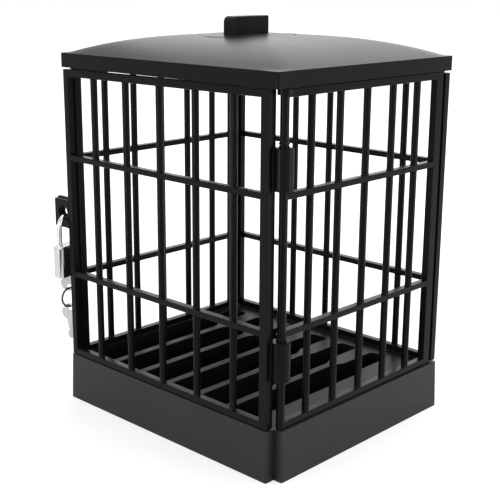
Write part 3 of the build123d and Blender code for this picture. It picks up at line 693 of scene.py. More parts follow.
@dataclass
class FixedPanels:
    """The two side panels and the back panel."""

    cage: Cage
    finishes: Finishes
    side_bars: tuple[float, ...] = (-39.76, -19.93, -0.1, 19.73, 39.56)
    back_bars: tuple[float, ...] = (-50.96, -26.03, -1.1, 23.83, 48.76)
    stile: float = 5.5
    collar: float = 2.4
    collar_height: float = 2.2
    upper_collar: float = 154.65
    lower_collar: float = 67.55
    groove: Pair = (0.7, 0.4)
    seam: float = 0.9
    back_reach: float = 0.6
    back_corner: Point = (3.2, 0.6, 0.7)
    lip: float = 2.85
    post_cap: Pair = (3.3, 2.5)
    tongue_places: Pair = (-25.0, 25.0)
    tongue_low: Point = (-4.0, 0.1, -0.5)
    tongue_high: Point = (4.0, 1.4, 3.6)
    rear_plate: tuple[float, float, float, float, float] = (-86.1, -74.3, -61.95, 95.2, 111.1)
    rear_arm: tuple[Point, Point] = ((-76.0, -60.1, 95.2), (-71.8, -56.0, 111.1))
    arm_edge: float = 0.2

    def seat(self, side: Side) -> Matrix:
        """The place of a side panel that is drawn along X with its inside at +Y."""
        way = side.value
        return Matrix.Translation((way * self.cage.side_plane, 0, 0)) @ turned(90 * way)

    def side(self, side: Side) -> Shaper:
        """Shapes one side panel where it stands.

        Args:
            side: left or right.

        Returns:
            The shape.
        """
        shape = Shaper("grille_left" if side is Side.LEFT else "grille_right")
        cage, way = self.cage, side.value
        half = cage.thickness / 2
        front = way * cage.post_y
        ends = sorted((front, way * (cage.back_plane - half - self.seam)))
        BarredPanel(
            cage, *ends, cage.foot, cage.head, tuple(way * y for y in self.side_bars),
            self.stile if way < 0 else 0, self.stile if way > 0 else 0,
        ).add_to(shape)
        shape.rod(cage.post / 2, (front, 0, cage.foot), cage.head - cage.foot, steps=32)
        if side is Side.LEFT:
            low, high = (front - 1, -half, cage.foot), (front + self.lip, half, cage.head)
            shape.block(low, high, MOULDED_EDGE)
        self.tongues(shape)
        shape.place_all(self.seat(side))
        return shape

    def tongues(self, shape: Shaper) -> None:
        """Adds the two tongues that reach into the roof."""
        for x in self.tongue_places:
            low, high = (
                tuple(a + b for a, b in zip(corner, (x, 0, self.cage.head)))
                for corner in (self.tongue_low, self.tongue_high)
            )
            shape.block(low, high)

    def collars(self, shape: Shaper) -> None:
        """Adds the two collars that hold the door's knuckles down, the upper one grooved."""
        x, y = self.cage.side_plane, self.cage.post_y
        width, depth = self.groove
        low, high = (self.collar_height - width) / 2, (self.collar_height + width) / 2
        soft, wide, top = MOULDED_EDGE, self.collar, self.collar_height
        shape.spun([
            (0, 0), (wide, 0), (wide, low), (wide - depth, low), (wide - depth, high),
            (wide, high), (wide, top - soft), (wide - soft, top), (0, top),
        ], (x, y, self.upper_collar), 40)
        lower = self.lower_collar
        shape.rod(self.collar, (x, y, lower), self.cage.lower_rail - lower, steps=40)
        radius, height = self.post_cap
        shape.rod(radius, (x, y, self.cage.head - height), height, steps=40)

    def rear_hasp(self) -> Shaper:
        """Shapes the rear hasp plate with the arm that joins it to the grille's post.

        Returns:
            The shape.
        """
        hasp = HaspPlate(*self.rear_plate).shape("rear_hasp")
        hasp.block(*self.rear_arm, self.arm_edge)
        return hasp

    def make(self) -> None:
        """Makes and dresses the three panels."""
        left, right = self.side(Side.LEFT), self.side(Side.RIGHT)
        self.collars(right)
        left.fuse(self.rear_hasp())
        back = Shaper("grille_back")
        cage, stile = self.cage, self.stile + self.back_reach
        half = cage.side_plane + cage.thickness / 2 + self.back_reach
        BarredPanel(
            cage, -half, half, cage.foot, cage.head, tuple(-x for x in self.back_bars),
            stile, stile, corner_step=self.back_corner,
        ).add_to(back)
        self.tongues(back)
        back.place_all(Matrix.Translation((0, self.cage.back_plane, 0)) @ turned(180))
        for shape, nodes in (
            (left, ("left_side_panel", "rear_hasp_plate")),
            (right, ("right_side_panel",)),
            (back, ("back_panel",)),
        ):
            Piece("cage", nodes, "black_plastic", self.finishes.cage, edge=0.0).make(shape)


@dataclass
class HaspPlate:
    """One of the two hasp plates, with its eye."""

    left: float
    right: float
    front: float
    foot: float
    head: float
    thickness: float = 2.1
    edge: float = 0.25
    corner: float = 0.8
    eye_x: float = -78.3
    eye_z: float = 103.3
    eye_radius: float = 3.6

    def shape(self, name: str) -> Shaper:
        """Shapes the plate with its eye, rounded free corners and soft edges.

        Args:
            name: the shape's name.

        Returns:
            The plate.
        """
        back = self.front + self.thickness
        made = Shaper.boxed(name, (self.left, self.front, self.foot), (self.right, back, self.head))
        free = [
            e for e in made.bm.edges
            if all(abs(v.co.x - self.left) < 1e-4 for v in e.verts)
            and abs(e.verts[0].co.y - e.verts[1].co.y) > 1
        ]
        made.bevel_edges(free, self.corner, 4)
        cutter = Shaper("hasp_eye")
        cutter.rod(self.eye_radius, (self.eye_x, self.front - 5, self.eye_z), 12.0, Axis.Y, 40)
        made.carve(cutter)
        made.soften(self.edge)
        return made


@dataclass
class Door:
    """The hinged front grille with its two snap-on knuckles and the front hasp plate."""

    cage: Cage
    finishes: Finishes
    left: float = -73.9
    right: float = 69.2
    plane: float = -62.4
    foot: float = 25.5
    head: float = 179.65
    sag: float = 0.75
    bars: tuple[float, ...] = (-51.27, -26.915, -2.56, 21.795, 46.15)
    hasp_stile: float = 3.7
    hinge_stile: float = 5.2
    head_rail: float = 3.7
    relief: Pair = (0.6, 2.5)
    knuckle_radius: float = 4.33
    bore_radius: float = 2.05
    knuckle_height: float = 18.6
    knuckle_feet: tuple[float, ...] = (48.8, 135.9)
    mouth: float = 96.0
    mouth_heading: float = 128.0
    mouth_edge: float = 3.0
    mouth_round: float = 0.8
    end_round: float = 0.3
    web: tuple[Pair, Pair] = ((-4.85, -3.6), (-3.0, -2.2))
    front_plate: tuple[float, float, float, float, float] = (-85.4, -72.9, -64.3, 95.2, 110.4)

    def knuckle(self, foot: float) -> Shaper:
        """Shapes one open barrel and its web.

        Args:
            foot: height of its lower end.

        Returns:
            The shape.
        """
        made = Shaper("knuckle")
        heading = math.radians(self.mouth_heading + self.mouth / 2 + self.mouth_edge)
        reach = (self.bore_radius, self.knuckle_radius)
        x, y = math.cos(heading), math.sin(heading)
        ends = [made.bm.verts.new((r * x, r * y, 0)) for r in reach]
        rib = made.bm.edges.new(ends)
        angle = math.radians(360 - self.mouth - 2 * self.mouth_edge)
        made.sweep([*ends, rib], (0, 0, 1), angle, 30)
        made.grow(made.bm.faces[:], self.knuckle_height)
        made.face_out()
        made.bevel_edges(made.corners(1), self.mouth_round, 4)
        ends = [
            e for e in made.bm.edges
            if abs(e.verts[0].co.z - e.verts[1].co.z) < 0.01 and e.calc_face_angle(0.0) > 1.0
        ]
        made.bevel_edges(ends, self.end_round, 3)
        low, high = self.web
        made.block((*low, self.end_round), (*high, self.knuckle_height - self.end_round))
        made.move((self.cage.side_plane, self.cage.post_y, foot))
        return made

    def make(self) -> None:
        """Makes and dresses the door."""
        shape = Shaper("door_grille")
        BarredPanel(
            self.cage, self.left, self.right, self.foot, self.head, self.bars, self.hasp_stile, 0,
            head_rail=self.head_rail,
        ).add_to(shape)
        shape.move((0, self.plane, 0))
        half = self.cage.thickness / 2
        front = self.plane - half
        stile = Shaper.boxed(
            "hinge_stile", (self.right - self.hinge_stile, front, self.foot),
            (self.right, self.plane + half, self.head),
        )
        width, depth = self.relief
        for foot in self.knuckle_feet:
            stile.carve(Shaper.boxed(
                "relief", (self.right - width, front - 1, foot),
                (self.right + 1, front + depth, foot + self.knuckle_height),
            ))
        stile.soften(MOULDED_EDGE)
        shape.fuse(stile, *(self.knuckle(foot) for foot in self.knuckle_feet))
        for vert in shape.bm.verts:
            if vert.co.z > self.head - self.head_rail - 1:
                vert.co.z -= self.sag * (self.right - vert.co.x) / (self.right - self.left)
        shape.fuse(HaspPlate(*self.front_plate).shape("front_hasp"))
        nodes = ("door_panel", "hinge_knuckles", "front_hasp_plate")
        Piece("door", nodes, "black_plastic", self.finishes.cage, edge=0.0).make(shape)


@dataclass
class Base:
    """The drafted base shell with its notched corner, and the slotted rack that drops into it."""

    finishes: Finishes
    top: Pair = (74.2, 64.8)
    foot: Pair = (74.9, 65.5)
    height: float = 25.2
    wall: float = 1.7
    notch: Pair = (70.0, -60.0)
    seat: Point = (69.55, -60.75, 60.75)
    seat_floor: float = 20.0
    keep: tuple[Pair, Pair] = ((67.85, -70.0), (80.0, -54.55))
    cavity: Pair = (72.6, 63.2)
    rim: float = 2.4
    corner_round: float = 0.9
    slot_places: tuple[float, ...] = (-59.4, -38.2, -17.0, 4.2, 25.4, 46.6)
    slot_half: float = 8.5
    tail_half: float = 5.7
    slot_span: Pair = (-57.0, 52.0)
    shoulder: Pair = (23.2, 27.2)
    shoulder_round: float = 2.2
    tail_round: float = 3.0
    pocket_wall: float = 1.2
    wall_reach: Point = (9.7, 9.2, 6.9)
    wall_steps: Pair = (21.0, 29.5)
    wall_span: Pair = (-58.2, 53.2)
    play: float = 0.15
    rack_corner: Pair = (67.7, -54.4)
    rack_thickness: float = 2.2
    pocket_foot: float = 2.05

    def outline(self, x: float, y: float) -> list[Pair]:
        """The base's plan with its notch, for a half width and half depth."""
        nx, ny = self.notch
        return [(-x, -y), (nx, -y), (nx, ny), (x, ny), (x, y), (-x, y)]

    def shell(self) -> Shaper:
        """Shapes the shell: drafted outside, rim, and the well for the rack.

        Returns:
            The shape.
        """
        made = Shaper("base_tub")
        verts = made.plate(self.outline(*self.foot), 0.0, self.height)
        for vert in verts:
            if vert.co.z > 1:
                for axis in (0, 1):
                    if abs(vert.co[axis]) > self.foot[axis] - 0.01:
                        vert.co[axis] = math.copysign(self.top[axis], vert.co[axis])
        made.face_out()
        made.bevel_edges([e for e in made.upright(1) if e.is_convex], self.corner_round, 3)
        x, low, high = self.seat
        well = Shaper.boxed("well", (-x, low, self.seat_floor), (x, high, FAR))
        well.carve(Shaper.boxed("keep", (*self.keep[0], 0.0), (*self.keep[1], FAR + 1)))
        x, y = self.cavity
        cavity = Shaper.boxed("cavity", (-x, -y, -1.0), (x, y, self.height - self.rim))
        x, y = self.notch
        cavity.carve(Shaper.boxed("corner", (x - self.wall, -FAR, -2), (FAR, y + self.wall, FAR)))
        made.carve(well, cavity)
        return made

    def slot_loop(self, shape: Shaper, x: float, z: float, growth: float) -> Edges:
        """Draws one slot's outline, with its soft shoulders and round tail.

        Args:
            shape: the shape that takes the edges.
            x: the slot's middle.
            z: height.
            growth: how far outside the slot the outline runs.

        Returns:
            The outline's edges.
        """
        wide, tail = self.slot_half + growth, self.tail_half + growth
        front, back = self.slot_span[0] - growth, self.slot_span[1] + growth
        half = [(wide, front), (wide, self.shoulder[0]), (tail, self.shoulder[1]), (tail, back)]
        corners = half + [(-a, b) for a, b in reversed(half)]
        before = set(shape.bm.verts)
        verts = [shape.bm.verts.new((x + a, b, z)) for a, b in corners]
        for pair in zip(verts, verts[1:] + verts[:1]):
            shape.bm.edges.new(pair)
        shoulders, tails = verts[1:3] + verts[5:7], verts[3:5]
        for group, size in ((shoulders, self.shoulder_round), (tails, self.tail_round + growth)):
            bmesh.ops.bevel(
                shape.bm, geom=group, offset=size, segments=6, affect="VERTICES", profile=0.5,
                offset_type="OFFSET", material=-1,
            )
        loop = {v for v in shape.bm.verts if v not in before}
        return [e for e in shape.bm.edges if e.verts[0] in loop]

    def rack(self) -> Shaper:
        """Shapes the rack: a plate with a walled pocket under each slot.

        Returns:
            The shape.
        """
        made = Shaper("slotted_rack")
        top = self.height - self.play
        x, low, high = self.seat[0] - self.play, self.seat[1] + self.play, self.seat[2] - self.play
        nx, ny = self.rack_corner
        border = [(-x, low), (nx, low), (nx, ny), (x, ny), (x, high), (-x, high)]
        verts = [made.bm.verts.new((a, b, top)) for a, b in border]
        edges = [made.bm.edges.new(pair) for pair in zip(verts, verts[1:] + verts[:1])]
        for place in self.slot_places:
            outer = self.slot_loop(made, place, top, self.pocket_wall)
            inner = self.slot_loop(made, place, top, 0.0)
            bmesh.ops.bridge_loops(made.bm, edges=outer + inner)
            edges += outer
        bmesh.ops.triangle_fill(
            made.bm, edges=edges, use_beauty=True, use_dissolve=False, normal=(0, 0, 1),
        )
        for face in made.bm.faces:
            if face.normal.z < 0:
                face.normal_flip()
        made.grow(made.bm.faces[:], -self.rack_thickness, keep=True)
        under = top - self.rack_thickness
        ring = []
        for face in made.bm.faces:
            middle = face.calc_center_median()
            if all(abs(v.co.z - under) < 0.01 for v in face.verts) and any(
                self.in_wall(middle.x - place, middle.y) for place in self.slot_places
            ):
                ring.append(face)
        made.grow(ring, self.pocket_foot - under)
        made.face_out()
        return made

    def in_wall(self, x: float, y: float) -> bool:
        """Whether a place beside a slot's middle lies in its pocket's wall."""
        wide, middle, tail = self.wall_reach
        reach = wide if y <= self.wall_steps[0] else middle if y < self.wall_steps[1] else tail
        return abs(x) < reach and self.wall_span[0] < y < self.wall_span[1]

    def make(self) -> None:
        """Makes and dresses the shell and the rack."""
        # The shell takes the base plastic, whose lighter shade is painted bounce light from the
        # floor.
        slot, tub, rack = "black_plastic", self.finishes.base, self.finishes.rack
        Piece("cage", ("base_shell",), slot, tub, edge=0.45, edge_steps=3).make(self.shell())
        Piece("cage", ("phone_rack",), slot, rack, edge=0.35).make(self.rack())


@dataclass
class Roof:
    """The vaulted roof and its grip."""

    finishes: Finishes
    half: Pair = (74.3, 65.3)
    foot: float = 180.0
    spring: float = 187.2
    rise: float = 10.05
    bow: float = 2.73
    hip: float = 16.0
    wall: float = 2.0
    grip_place: Pair = (-3.4, -1.8)
    disc_radius: float = 24.5
    disc_top: float = 197.55
    disc_thickness: float = 2.0
    disc_fall: float = 0.95
    fin: tuple[float, float, float, float] = (3.7, 13.9, 11.8, 8.58)
    fin_rounds: Point = (3.0, 0.8, 1.7)
    corner_round: float = 1.2
    socket_places: Pair = (-25.0, 25.0)
    socket_half: float = 5.5
    socket_sides: Pair = (68.3, 71.7)
    socket_back: Pair = (59.5, 62.95)
    socket_height: Pair = (0.15, 5.4)
    cup_place: Pair = (70.4, -57.4)
    cup: Pair = (2.4, 6.0)
    grip_play: float = 0.04
    grip_seat: Pair = (1.5, 2.0)
    grip_rim: float = 0.2

    def height_at(self, x: float, y: float, inset: float) -> float:
        """The vault's height at a place, for the outer face or one inset from it."""
        u = min(abs(x) / (self.half[0] - inset), 1.0)
        v = min(abs(y) / (self.half[1] - inset), 1.0)
        reach = (u ** self.hip + v ** self.hip) ** (1 / self.hip)
        return self.spring - inset + self.rise * (1 - min(reach, 1.0) ** self.bow)

    def vault(self, name: str, inset: float, foot: float) -> Shaper:
        """Shapes one closed vaulted block.

        Args:
            name: the shape's name.
            inset: how far inside the roof's outside it lies.
            foot: height of its flat underside.

        Returns:
            The block.
        """
        made = Shaper(name)
        x, y = self.half[0] - inset, self.half[1] - inset
        bmesh.ops.create_grid(made.bm, x_segments=56, y_segments=50, size=1.0)
        for vert in made.bm.verts:
            vert.co.x, vert.co.y = vert.co.x * x, vert.co.y * y
            vert.co.z = self.height_at(vert.co.x, vert.co.y, inset)
        grown = bmesh.ops.extrude_edge_only(made.bm, edges=made.rims())["geom"]
        for vert in (g for g in grown if isinstance(g, bmesh.types.BMVert)):
            vert.co.z = foot
        bmesh.ops.contextual_create(made.bm, geom=made.rims())
        made.face_out()
        if inset == 0:
            made.bevel_edges(made.corners(3), self.corner_round, 4)
        return made

    def shell(self) -> Shaper:
        """Shapes the hollow roof with its sockets and the grip's recess.

        Returns:
            The shape.
        """
        made = self.vault("vaulted_roof", 0.0, self.foot)
        x, y = self.grip_place
        floor = self.disc_top - self.disc_thickness
        recess = Shaper("recess")
        recess.rod(self.disc_radius + self.grip_play, (x, y, floor), FAR, steps=96)
        made.carve(self.vault("inside", self.wall, self.foot - 1), recess)
        margin, depth = self.grip_seat
        made.rod(self.disc_radius + margin, (x, y, floor - depth), depth - 0.005, steps=96)
        low, high = (self.foot + rise for rise in self.socket_height)
        near, far = self.socket_sides
        for along in self.socket_places:
            first, last = along - self.socket_half, along + self.socket_half
            made.block((-far, first, low), (-near, last, high))
            made.block((near, first, low), (far, last, high))
            made.block((first, self.socket_back[0], low), (last, self.socket_back[1], high))
        for side in (-1, 1):
            made.rod(self.cup[0], (side * self.cup_place[0], self.cup_place[1], low), self.cup[1])
        return made

    def grip(self) -> Shaper:
        """Shapes the round plate with its upright fin.

        Returns:
            The shape.
        """
        made = Shaper("roof_grip")
        x, y = self.grip_place
        floor, top = self.disc_top - self.disc_thickness, self.disc_top
        r = self.disc_radius
        crown = [(r * k / 8, top - self.disc_fall * (k / 8) ** self.bow) for k in range(8, -1, -1)]
        rim = (r, crown[0][1] - self.grip_rim)
        made.spun([(0, floor), (r, floor), rim, *crown], (x, y, 0), 96)
        half, front, back, rise = self.fin
        fin = Shaper.boxed("fin", (x - half, y - front, top - 0.3), (x + half, y + back, top + rise))
        for place, radius in ((y - front, self.fin_rounds[0]), (y + back, self.fin_rounds[1])):
            nose = [
                e for e in fin.bm.edges
                if all(v.co.z > top + 1 and abs(v.co.y - place) < 0.01 for v in e.verts)
            ]
            fin.bevel_edges(nose, radius, 6)
        rims = [
            e for e in fin.bm.edges
            if abs(e.verts[0].co.x - e.verts[1].co.x) < 0.01
            and not all(v.co.z < top for v in e.verts)
        ]
        fin.bevel_edges(rims, self.fin_rounds[2], 4)
        made.fuse(fin)
        return made

    def make(self) -> None:
        """Makes and dresses the roof and its grip."""
        slot, finish = "black_plastic", self.finishes.roof
        Piece("cage", ("roof_shell",), slot, finish, edge=0.4, edge_steps=3).make(self.shell())
        Piece("cage", ("roof_handle",), slot, finish, edge=0.0).make(self.grip())


# The padlock
@dataclass
class Padlock:
    """The padlock, drawn in its own frame: X through its thickness, Y across, Z up."""

    finishes: Finishes
    origin: Point = (-78.1, -62.075, 100.35)
    twist: float = 12.0
    leg_y: float = 6.25
    wire: float = 1.4
    arch: float = -4.95
    top: float = -14.5
    cap: float = -15.5
    foot: float = -31.5
    toe_foot: float = -19.3
    notch: Pair = (-18.47, -5.5)
    heel_foot: float = -27.7
    waist: Point = (0.9, -27.05, -20.9)
    leg_hole: float = 1.5
    hole_depth: float = 0.5
    bore: Pair = (2.75, -19.2)
    half_thickness: float = 3.3
    end_flat: float = 1.7
    end_reach: float = 3.0
    end_round: float = 0.55
    keyway: float = 28.0
    hole_z: float = -38.45
    spare_hole_z: float = -50.55
    ring_z: float = -44.5
    ring_radius: float = 5.2
    ring_wire: float = 0.58
    ring_heading: float = -11.0
    ring_gap: float = 0.15
    bow_radius: float = 4.6
    bow_rise: float = 2.15
    bow_thickness: float = 1.0
    key_hole: float = 1.35
    blade: Point = (3.6, 5.0, 0.9)
    tip: Pair = (0.5, 17.35)
    groove: tuple[Point, Point] = ((-0.75, -1.0, 7.2), (-0.15, -0.22, 18.0))
    bitting: tuple[Pair, ...] = ((10.0, 0.5), (12.2, 0.8), (14.4, 0.3), (16.6, 0.6))

    def seat(self) -> Matrix:
        """The padlock's place in the object."""
        return Matrix.Translation(self.origin) @ turned(self.twist)

    def dress(self, body: str, node: str, slot: str, material: Material, shape: Shaper,
              edge: float) -> None:
        """Makes one of the padlock's shapes into a piece.

        Args:
            body: the body it rides on.
            node: the node it stands for.
            slot: its material slot.
            material: its finish.
            shape: the shape.
            edge: radius of its soft edges.
        """
        seat = self.seat()
        Piece(body, (node,), slot, material, edge=edge, edge_angle=34.0, seat=seat).make(shape)

    def shackle(self) -> Shaper:
        """Shapes the bent wire: an arch, a notched toe and a waisted heel.

        Returns:
            The shape.
        """
        made = Shaper("bent_shackle")
        made.circle(self.wire, -self.leg_y, 24)
        made.sweep(made.bm.edges[:] + made.bm.verts[:], (-1, 0, 0), math.pi, 24)
        waist_radius, waist_foot, waist_head = self.waist
        rims = made.rims()
        ends = [[e for e in rims if e.verts[0].co.y * way > 0] for way in (-1, 1)]
        for loop, foot in zip(ends, (self.toe_foot, waist_head)):
            made.lift(bmesh.ops.extrude_edge_only(made.bm, edges=loop)["geom"], foot - self.arch)
        made.fill_ends()
        made.move((0, 0, self.arch))
        head, side = self.notch
        made.carve(Shaper.boxed("notch", (-5, side, head), (5, 0, self.cap)))
        made.rod(waist_radius, (0, self.leg_y, waist_foot - 0.02), waist_head - waist_foot + 0.07)
        made.rod(self.wire, (0, self.leg_y, self.heel_foot), waist_foot - self.heel_foot)
        return made

    def slab(self, name: str, foot: float, head: float) -> Shaper:
        """Shapes a slab with flat sides and ends, and chamfered corners with soft edges.

        Args:
            name: the shape's name.
            foot: lower height.
            head: upper height.

        Returns:
            The slab.
        """
        made = Shaper(name)
        side, flat = self.half_thickness, self.end_flat
        quarter = [(flat, self.leg_y + self.end_reach), (side, self.leg_y + flat)]
        right = quarter + [(x, -y) for x, y in reversed(quarter)]
        made.plate(right + [(-x, y) for x, y in reversed(right)], foot, head - foot)
        made.face_out()
        made.bevel_edges(made.upright((head - foot) / 2), self.end_round, 3)
        return made

    @staticmethod
    def hole(radius: float, y: float, foot: float, head: float = 0.0) -> Shaper:
        """A round cutter."""
        made = Shaper("hole")
        made.rod(radius, (0, y, foot), head - foot, steps=40)
        return made

    def body(self) -> Shaper:
        """Shapes the body with its leg holes and plug bore."""
        made = self.slab("padlock_case", self.foot, self.cap - 0.02)
        made.carve(
            self.hole(self.leg_hole, -self.leg_y, self.toe_foot - self.hole_depth),
            self.hole(self.leg_hole, self.leg_y, self.heel_foot - self.hole_depth),
            self.hole(self.bore[0], 0, self.foot - 1, self.bore[1]),
        )
        return made

    def lid(self) -> Shaper:
        """Shapes the pressed cap with its two leg holes."""
        made = self.slab("padlock_lid", self.cap, self.top)
        made.carve(*(self.hole(self.leg_hole, y, self.cap - 5) for y in (-self.leg_y, self.leg_y)))
        return made

    def key(self, name: str, hole_z: float, flip: bool) -> Shaper:
        """Shapes a flat key with its hole, milled groove and cuts.

        Args:
            name: the shape's name.
            hole_z: height of its hole.
            flip: True where the blade hangs down.

        Returns:
            The key.
        """
        made = Shaper(name)
        thickness = self.bow_thickness
        made.rod(self.bow_radius, (0, -thickness / 2, self.bow_rise), thickness, Axis.Y, 56)
        hole = Shaper("key_hole")
        hole.rod(self.key_hole, (0, -3, 0), 6.0, Axis.Y, 40)
        made.carve(hole)
        made.soften(0.12)
        width, neck, thickness = self.blade
        point, end = self.tip
        half, shoulder = width / 2, end - 1
        right = [(half, neck), (half, shoulder), (point, end)]
        corners = [(-half, neck), *right, (-point, end), (-half, shoulder)]
        blade = self.standing_plate("blade", corners, thickness)
        cuts = []
        for z, cut in self.bitting:
            outer, inner = half + 1, half - cut
            low, high = z - 1.5 - cut, z + 1.5 + cut
            corners = [(inner, z - 0.5), (outer, low), (outer, high), (inner, z + 0.5)]
            cuts.append(self.standing_plate("bitting", corners, 4.0))
        blade.carve(Shaper.boxed("keyway_groove", *self.groove), *cuts)
        made.fuse(blade)
        turn = turned(self.keyway)
        if flip:
            turn = turn @ turned(180, "Y")
        made.place_all(Matrix.Translation((0, 0, hole_z)) @ turn)
        return made

    @staticmethod
    def standing_plate(name: str, corners: list[Pair], thickness: float) -> Shaper:
        """Shapes a plate that stands upright, its thickness along Y.

        Args:
            name: the shape's name.
            corners: its outline in X and Z.
            thickness: its thickness.

        Returns:
            The plate.
        """
        made = Shaper(name)
        made.place(made.plate(corners, -thickness / 2, thickness), turned(90, "X"))
        made.face_out()
        return made

    def ring(self) -> Shaper:
        """Shapes the wire ring with the butt joint of its ends.

        Returns:
            The shape.
        """
        made = Shaper("wire_ring")
        made.circle(self.ring_wire, self.ring_radius, 14)
        gap = self.ring_gap / self.ring_radius
        made.place_all(Matrix.Rotation(gap, 4, "X"))
        made.sweep(made.bm.edges[:] + made.bm.verts[:], (1, 0, 0), math.tau - 2 * gap, 64)
        made.fill_ends()
        made.place_all(Matrix.Translation((0, 0, self.ring_z)) @ turned(self.ring_heading))
        return made

    def make(self) -> None:
        """Makes and dresses the padlock, its keys and the ring."""
        nickel, steel = self.finishes.nickel, self.finishes.key_steel
        plated = "nickel_plating"
        self.dress("shackle", "padlock_shackle", plated, nickel, self.shackle(), 0.12)
        self.dress("lock_body", "padlock_body", plated, nickel, self.body(), 0.25)
        self.dress("lock_body", "padlock_cap", plated, nickel, self.lid(), 0.25)
        key = self.key("key_in_lock", self.hole_z, False)
        self.dress("plug", "lock_key", "key_steel", steel, key, 0.1)
        key = self.key("key_spare", self.spare_hole_z, True)
        self.dress("spare", "spare_key", "key_steel", steel, key, 0.1)
        self.dress("ring", "key_ring", "ring_wire", self.finishes.wire, self.ring(), 0.0)


# Carried-over parts
@dataclass
class InnerParts:
    """The solids that keep their shape and only take a finish."""

    finishes: Finishes

    def dress(self) -> None:
        """Gives each carried-over node its finish."""
        zinc = "base_cover_screws handle_washer handle_screw heel_pin latch_spring plug_clip"
        wear = (
            # The base cover shares the base plastic and its painted bounce light.
            (self.finishes.base, "base_cover"),
            (self.finishes.zinc, zinc),
            (self.finishes.brass, "latch_bolt padlock_plug lock_wafers"),
        )
        for material, nodes in wear:
            for node in nodes.split():
                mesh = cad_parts[node].data
                mesh.materials.clear()
                mesh.materials.append(material)
                log.info("dressed %s", node)


# The studio
def sheet(name: str, size: float, matrix: Matrix) -> bpy.types.Object:
    """Makes a flat sheet.

    Args:
        name: its name.
        size: half its side, before the matrix.
        matrix: its place.

    Returns:
        The sheet's object.
    """
    bm = bmesh.new()
    bmesh.ops.create_grid(bm, x_segments=1, y_segments=1, size=size, matrix=matrix)
    return link_object(name, bm)


@dataclass(frozen=True)
class SoftLamp:
    """A soft rectangular lamp: place, aim and size in metres, and brightness, where 1 is white."""

    name: str
    place: Point
    size: Pair
    brightness: float
    aim: Point = (0.0, 0.0, 0.1)

    def add(self) -> None:
        """Adds the lamp to the scene."""
        data = bpy.data.lights.new(self.name, "AREA")
        data.shape, data.size, data.size_y = "RECTANGLE", *self.size
        data.energy = self.brightness * math.pi * self.size[0] * self.size[1]
        lamp = bpy.data.objects.new(self.name, data)
        bpy.context.scene.collection.objects.link(lamp)
        lamp.location = self.place
        back = Vector(self.place) - Vector(self.aim)
        lamp.rotation_euler = back.to_track_quat("Z", "Y").to_euler()
        lamp.visible_camera = False


@dataclass(frozen=True)
class Card:
    """A dark or bright card that shows only in reflections: its middle, size, heading and lean."""

    name: str
    place: Point
    size: Pair
    brightness: float = 0.0
    heading: float = 0.0
    lean: float = 0.0

    def add(self) -> None:
        """Adds the card to the scene."""
        turn = turned(self.heading) @ turned(self.lean, "X")
        place = Matrix.Translation(self.place) @ turn @ Matrix.Diagonal((*self.size, 1.0, 1.0))
        card = sheet(self.name, 0.5, place)
        material, _, cloth = open_material(self.name)
        put(cloth, {"Base Color": (0.01, 0.01, 0.01, 1.0), "Emission Color": WHITE})
        put(cloth, {"Emission Strength": self.brightness})
        card.data.materials.append(material)
        card.visible_camera = card.visible_diffuse = card.visible_shadow = False


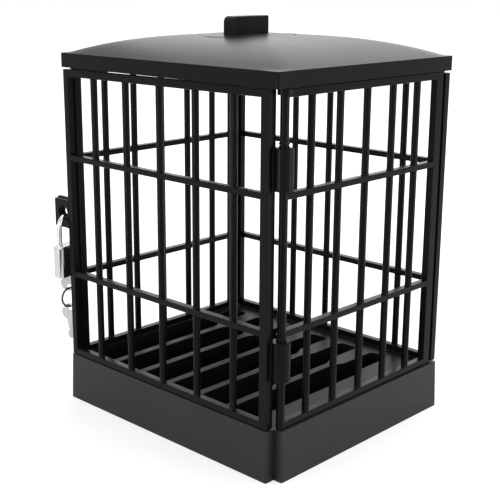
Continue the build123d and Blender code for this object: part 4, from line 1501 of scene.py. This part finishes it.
@dataclass
class Studio:
    """Camera, lamps, world and floor."""

    camera_place: Point = (357.12, -381.65, 225.48)
    target: Point = (18.641, -30.277, 100.0)
    roll: float = 0.259
    focal_px: float = 1026.311
    centre_px: Pair = (239.103, 239.237)
    image: float = 500.0
    surround: float = 0.6
    floor_half: float = 6.0
    paper: float = 0.6
    paper_seen: Pair = (0.6, 0.8)
    paper_reach: Pair = (0.12, 0.5)
    paper_mirrored: float = 0.4
    lamps: tuple[SoftLamp, ...] = (
        SoftLamp("top_soft", (0.1, 0.15, 1.3), (1.2, 1.2), 1.6),
        SoftLamp("back_soft", (-0.5, 1.0, 0.85), (1.5, 1.1), 1.22),
        SoftLamp("right_soft", (1.1, 0.1, 0.45), (0.5, 0.6), 1.0),
        SoftLamp("front_strip", (-0.35, -1.2, 0.45), (0.16, 0.6), 8.0),
    )
    cards: tuple[Card, ...] = (
        Card("dark_mat", (0.18, -0.345, 0.001), (0.36, 0.21)),
        Card("left_strip", (-0.016, -0.42, 0.17), (0.05, 0.34), 8.5, 0.0, 90.0),
        Card("right_strip", (0.43, 0.15, 0.15), (0.06, 0.3), 8.0, 110.0, 90.0),
    )

    def set_camera(self) -> None:
        """Sets the camera at the photograph's angle."""
        data = bpy.data.cameras.new("view")
        camera = bpy.data.objects.new("view", data)
        bpy.context.scene.collection.objects.link(camera)
        place, target = Vector(self.camera_place) * MM, Vector(self.target) * MM
        forward = (target - place).normalized()
        right = forward.cross(Vector((0, 0, 1))).normalized()
        up = right.cross(forward)
        lean = math.radians(self.roll)
        across = right * math.cos(lean) + up * math.sin(lean)
        above = up * math.cos(lean) - right * math.sin(lean)
        turn = Matrix((across, above, -forward)).transposed().to_4x4()
        camera.matrix_world = Matrix.Translation(place) @ turn
        data.sensor_width = 36.0
        data.lens = self.focal_px * 36.0 / self.image
        data.shift_x = (self.image / 2 - self.centre_px[0]) / self.image
        data.shift_y = (self.centre_px[1] - self.image / 2) / self.image
        data.clip_start, data.clip_end = 0.01, 50.0
        bpy.context.scene.camera = camera

    def set_world(self) -> None:
        """Sets a plain soft surround that looks white to the camera and in reflections."""
        world = bpy.data.worlds.new("surround")
        bpy.context.scene.world = world
        world.use_nodes = True
        tree = world.node_tree
        shader = tree.nodes["Background"]
        rays, level = (tree.nodes.new("ShaderNode" + kind) for kind in ("LightPath", "MapRange"))
        seen, seen_all = sums(tree, "MAXIMUM", "MAXIMUM")
        put(level, {"To Min": self.surround, "To Max": 1.0})
        join(rays, "Is Camera Ray", seen, 0)
        join(rays, "Is Glossy Ray", seen, 1)
        join(seen, 0, seen_all, 0)
        join(rays, "Is Transmission Ray", seen_all, 1)
        join(seen_all, 0, level, "Value")
        join(level, "Result", shader, "Strength")
        put(shader, {"Color": WHITE})

    def set_floor(self) -> None:
        """Lays the pale floor, white to the camera, that keeps the object's shadow."""
        floor = sheet("floor", self.floor_half, Matrix.Identity(4))
        material, tree, paper = open_material("floor_paper")
        put(paper, {"Base Color": (self.paper, self.paper, self.paper, 1.0), "Roughness": 0.9})
        put(paper, {"Specular IOR Level": 0.0, "Emission Color": WHITE})
        kinds = ("LightPath", "TexCoord", "VectorMath", "MapRange")
        rays, coords, away, glow = (tree.nodes.new("ShaderNode" + kind) for kind in kinds)
        seen, mirrored, both = sums(tree, "MULTIPLY", "MULTIPLY", "ADD")
        away.operation = "LENGTH"
        put(glow, dict(zip(("From Min", "From Max"), self.paper_reach)))
        put(glow, dict(zip(("To Min", "To Max"), self.paper_seen)))
        put(mirrored, {1: self.paper_mirrored})
        join(coords, "Object", away, 0)
        join(away, "Value", glow, "Value")
        join(glow, "Result", seen, 1)
        join(rays, "Is Camera Ray", seen, 0)
        join(rays, "Is Glossy Ray", mirrored, 0)
        join(seen, 0, both, 0)
        join(mirrored, 0, both, 1)
        join(both, 0, paper, "Emission Strength")
        floor.data.materials.append(material)

    def set_up(self) -> None:
        """Sets the whole studio."""
        scene = bpy.context.scene
        scene.view_settings.view_transform = "Standard"
        self.set_camera()
        self.set_world()
        self.set_floor()
        for lamp in self.lamps:
            lamp.add()
        for card in self.cards:
            card.add()


def main() -> None:
    """Builds every sub-assembly in order."""
    finishes = Finishes.build()
    cage = Cage()
    FixedPanels(cage, finishes).make()
    Door(cage, finishes).make()
    Base(finishes).make()
    Roof(finishes).make()
    Padlock(finishes).make()
    InnerParts(finishes).dress()
    Studio().set_up()


if __name__ == "__main__":
    main()
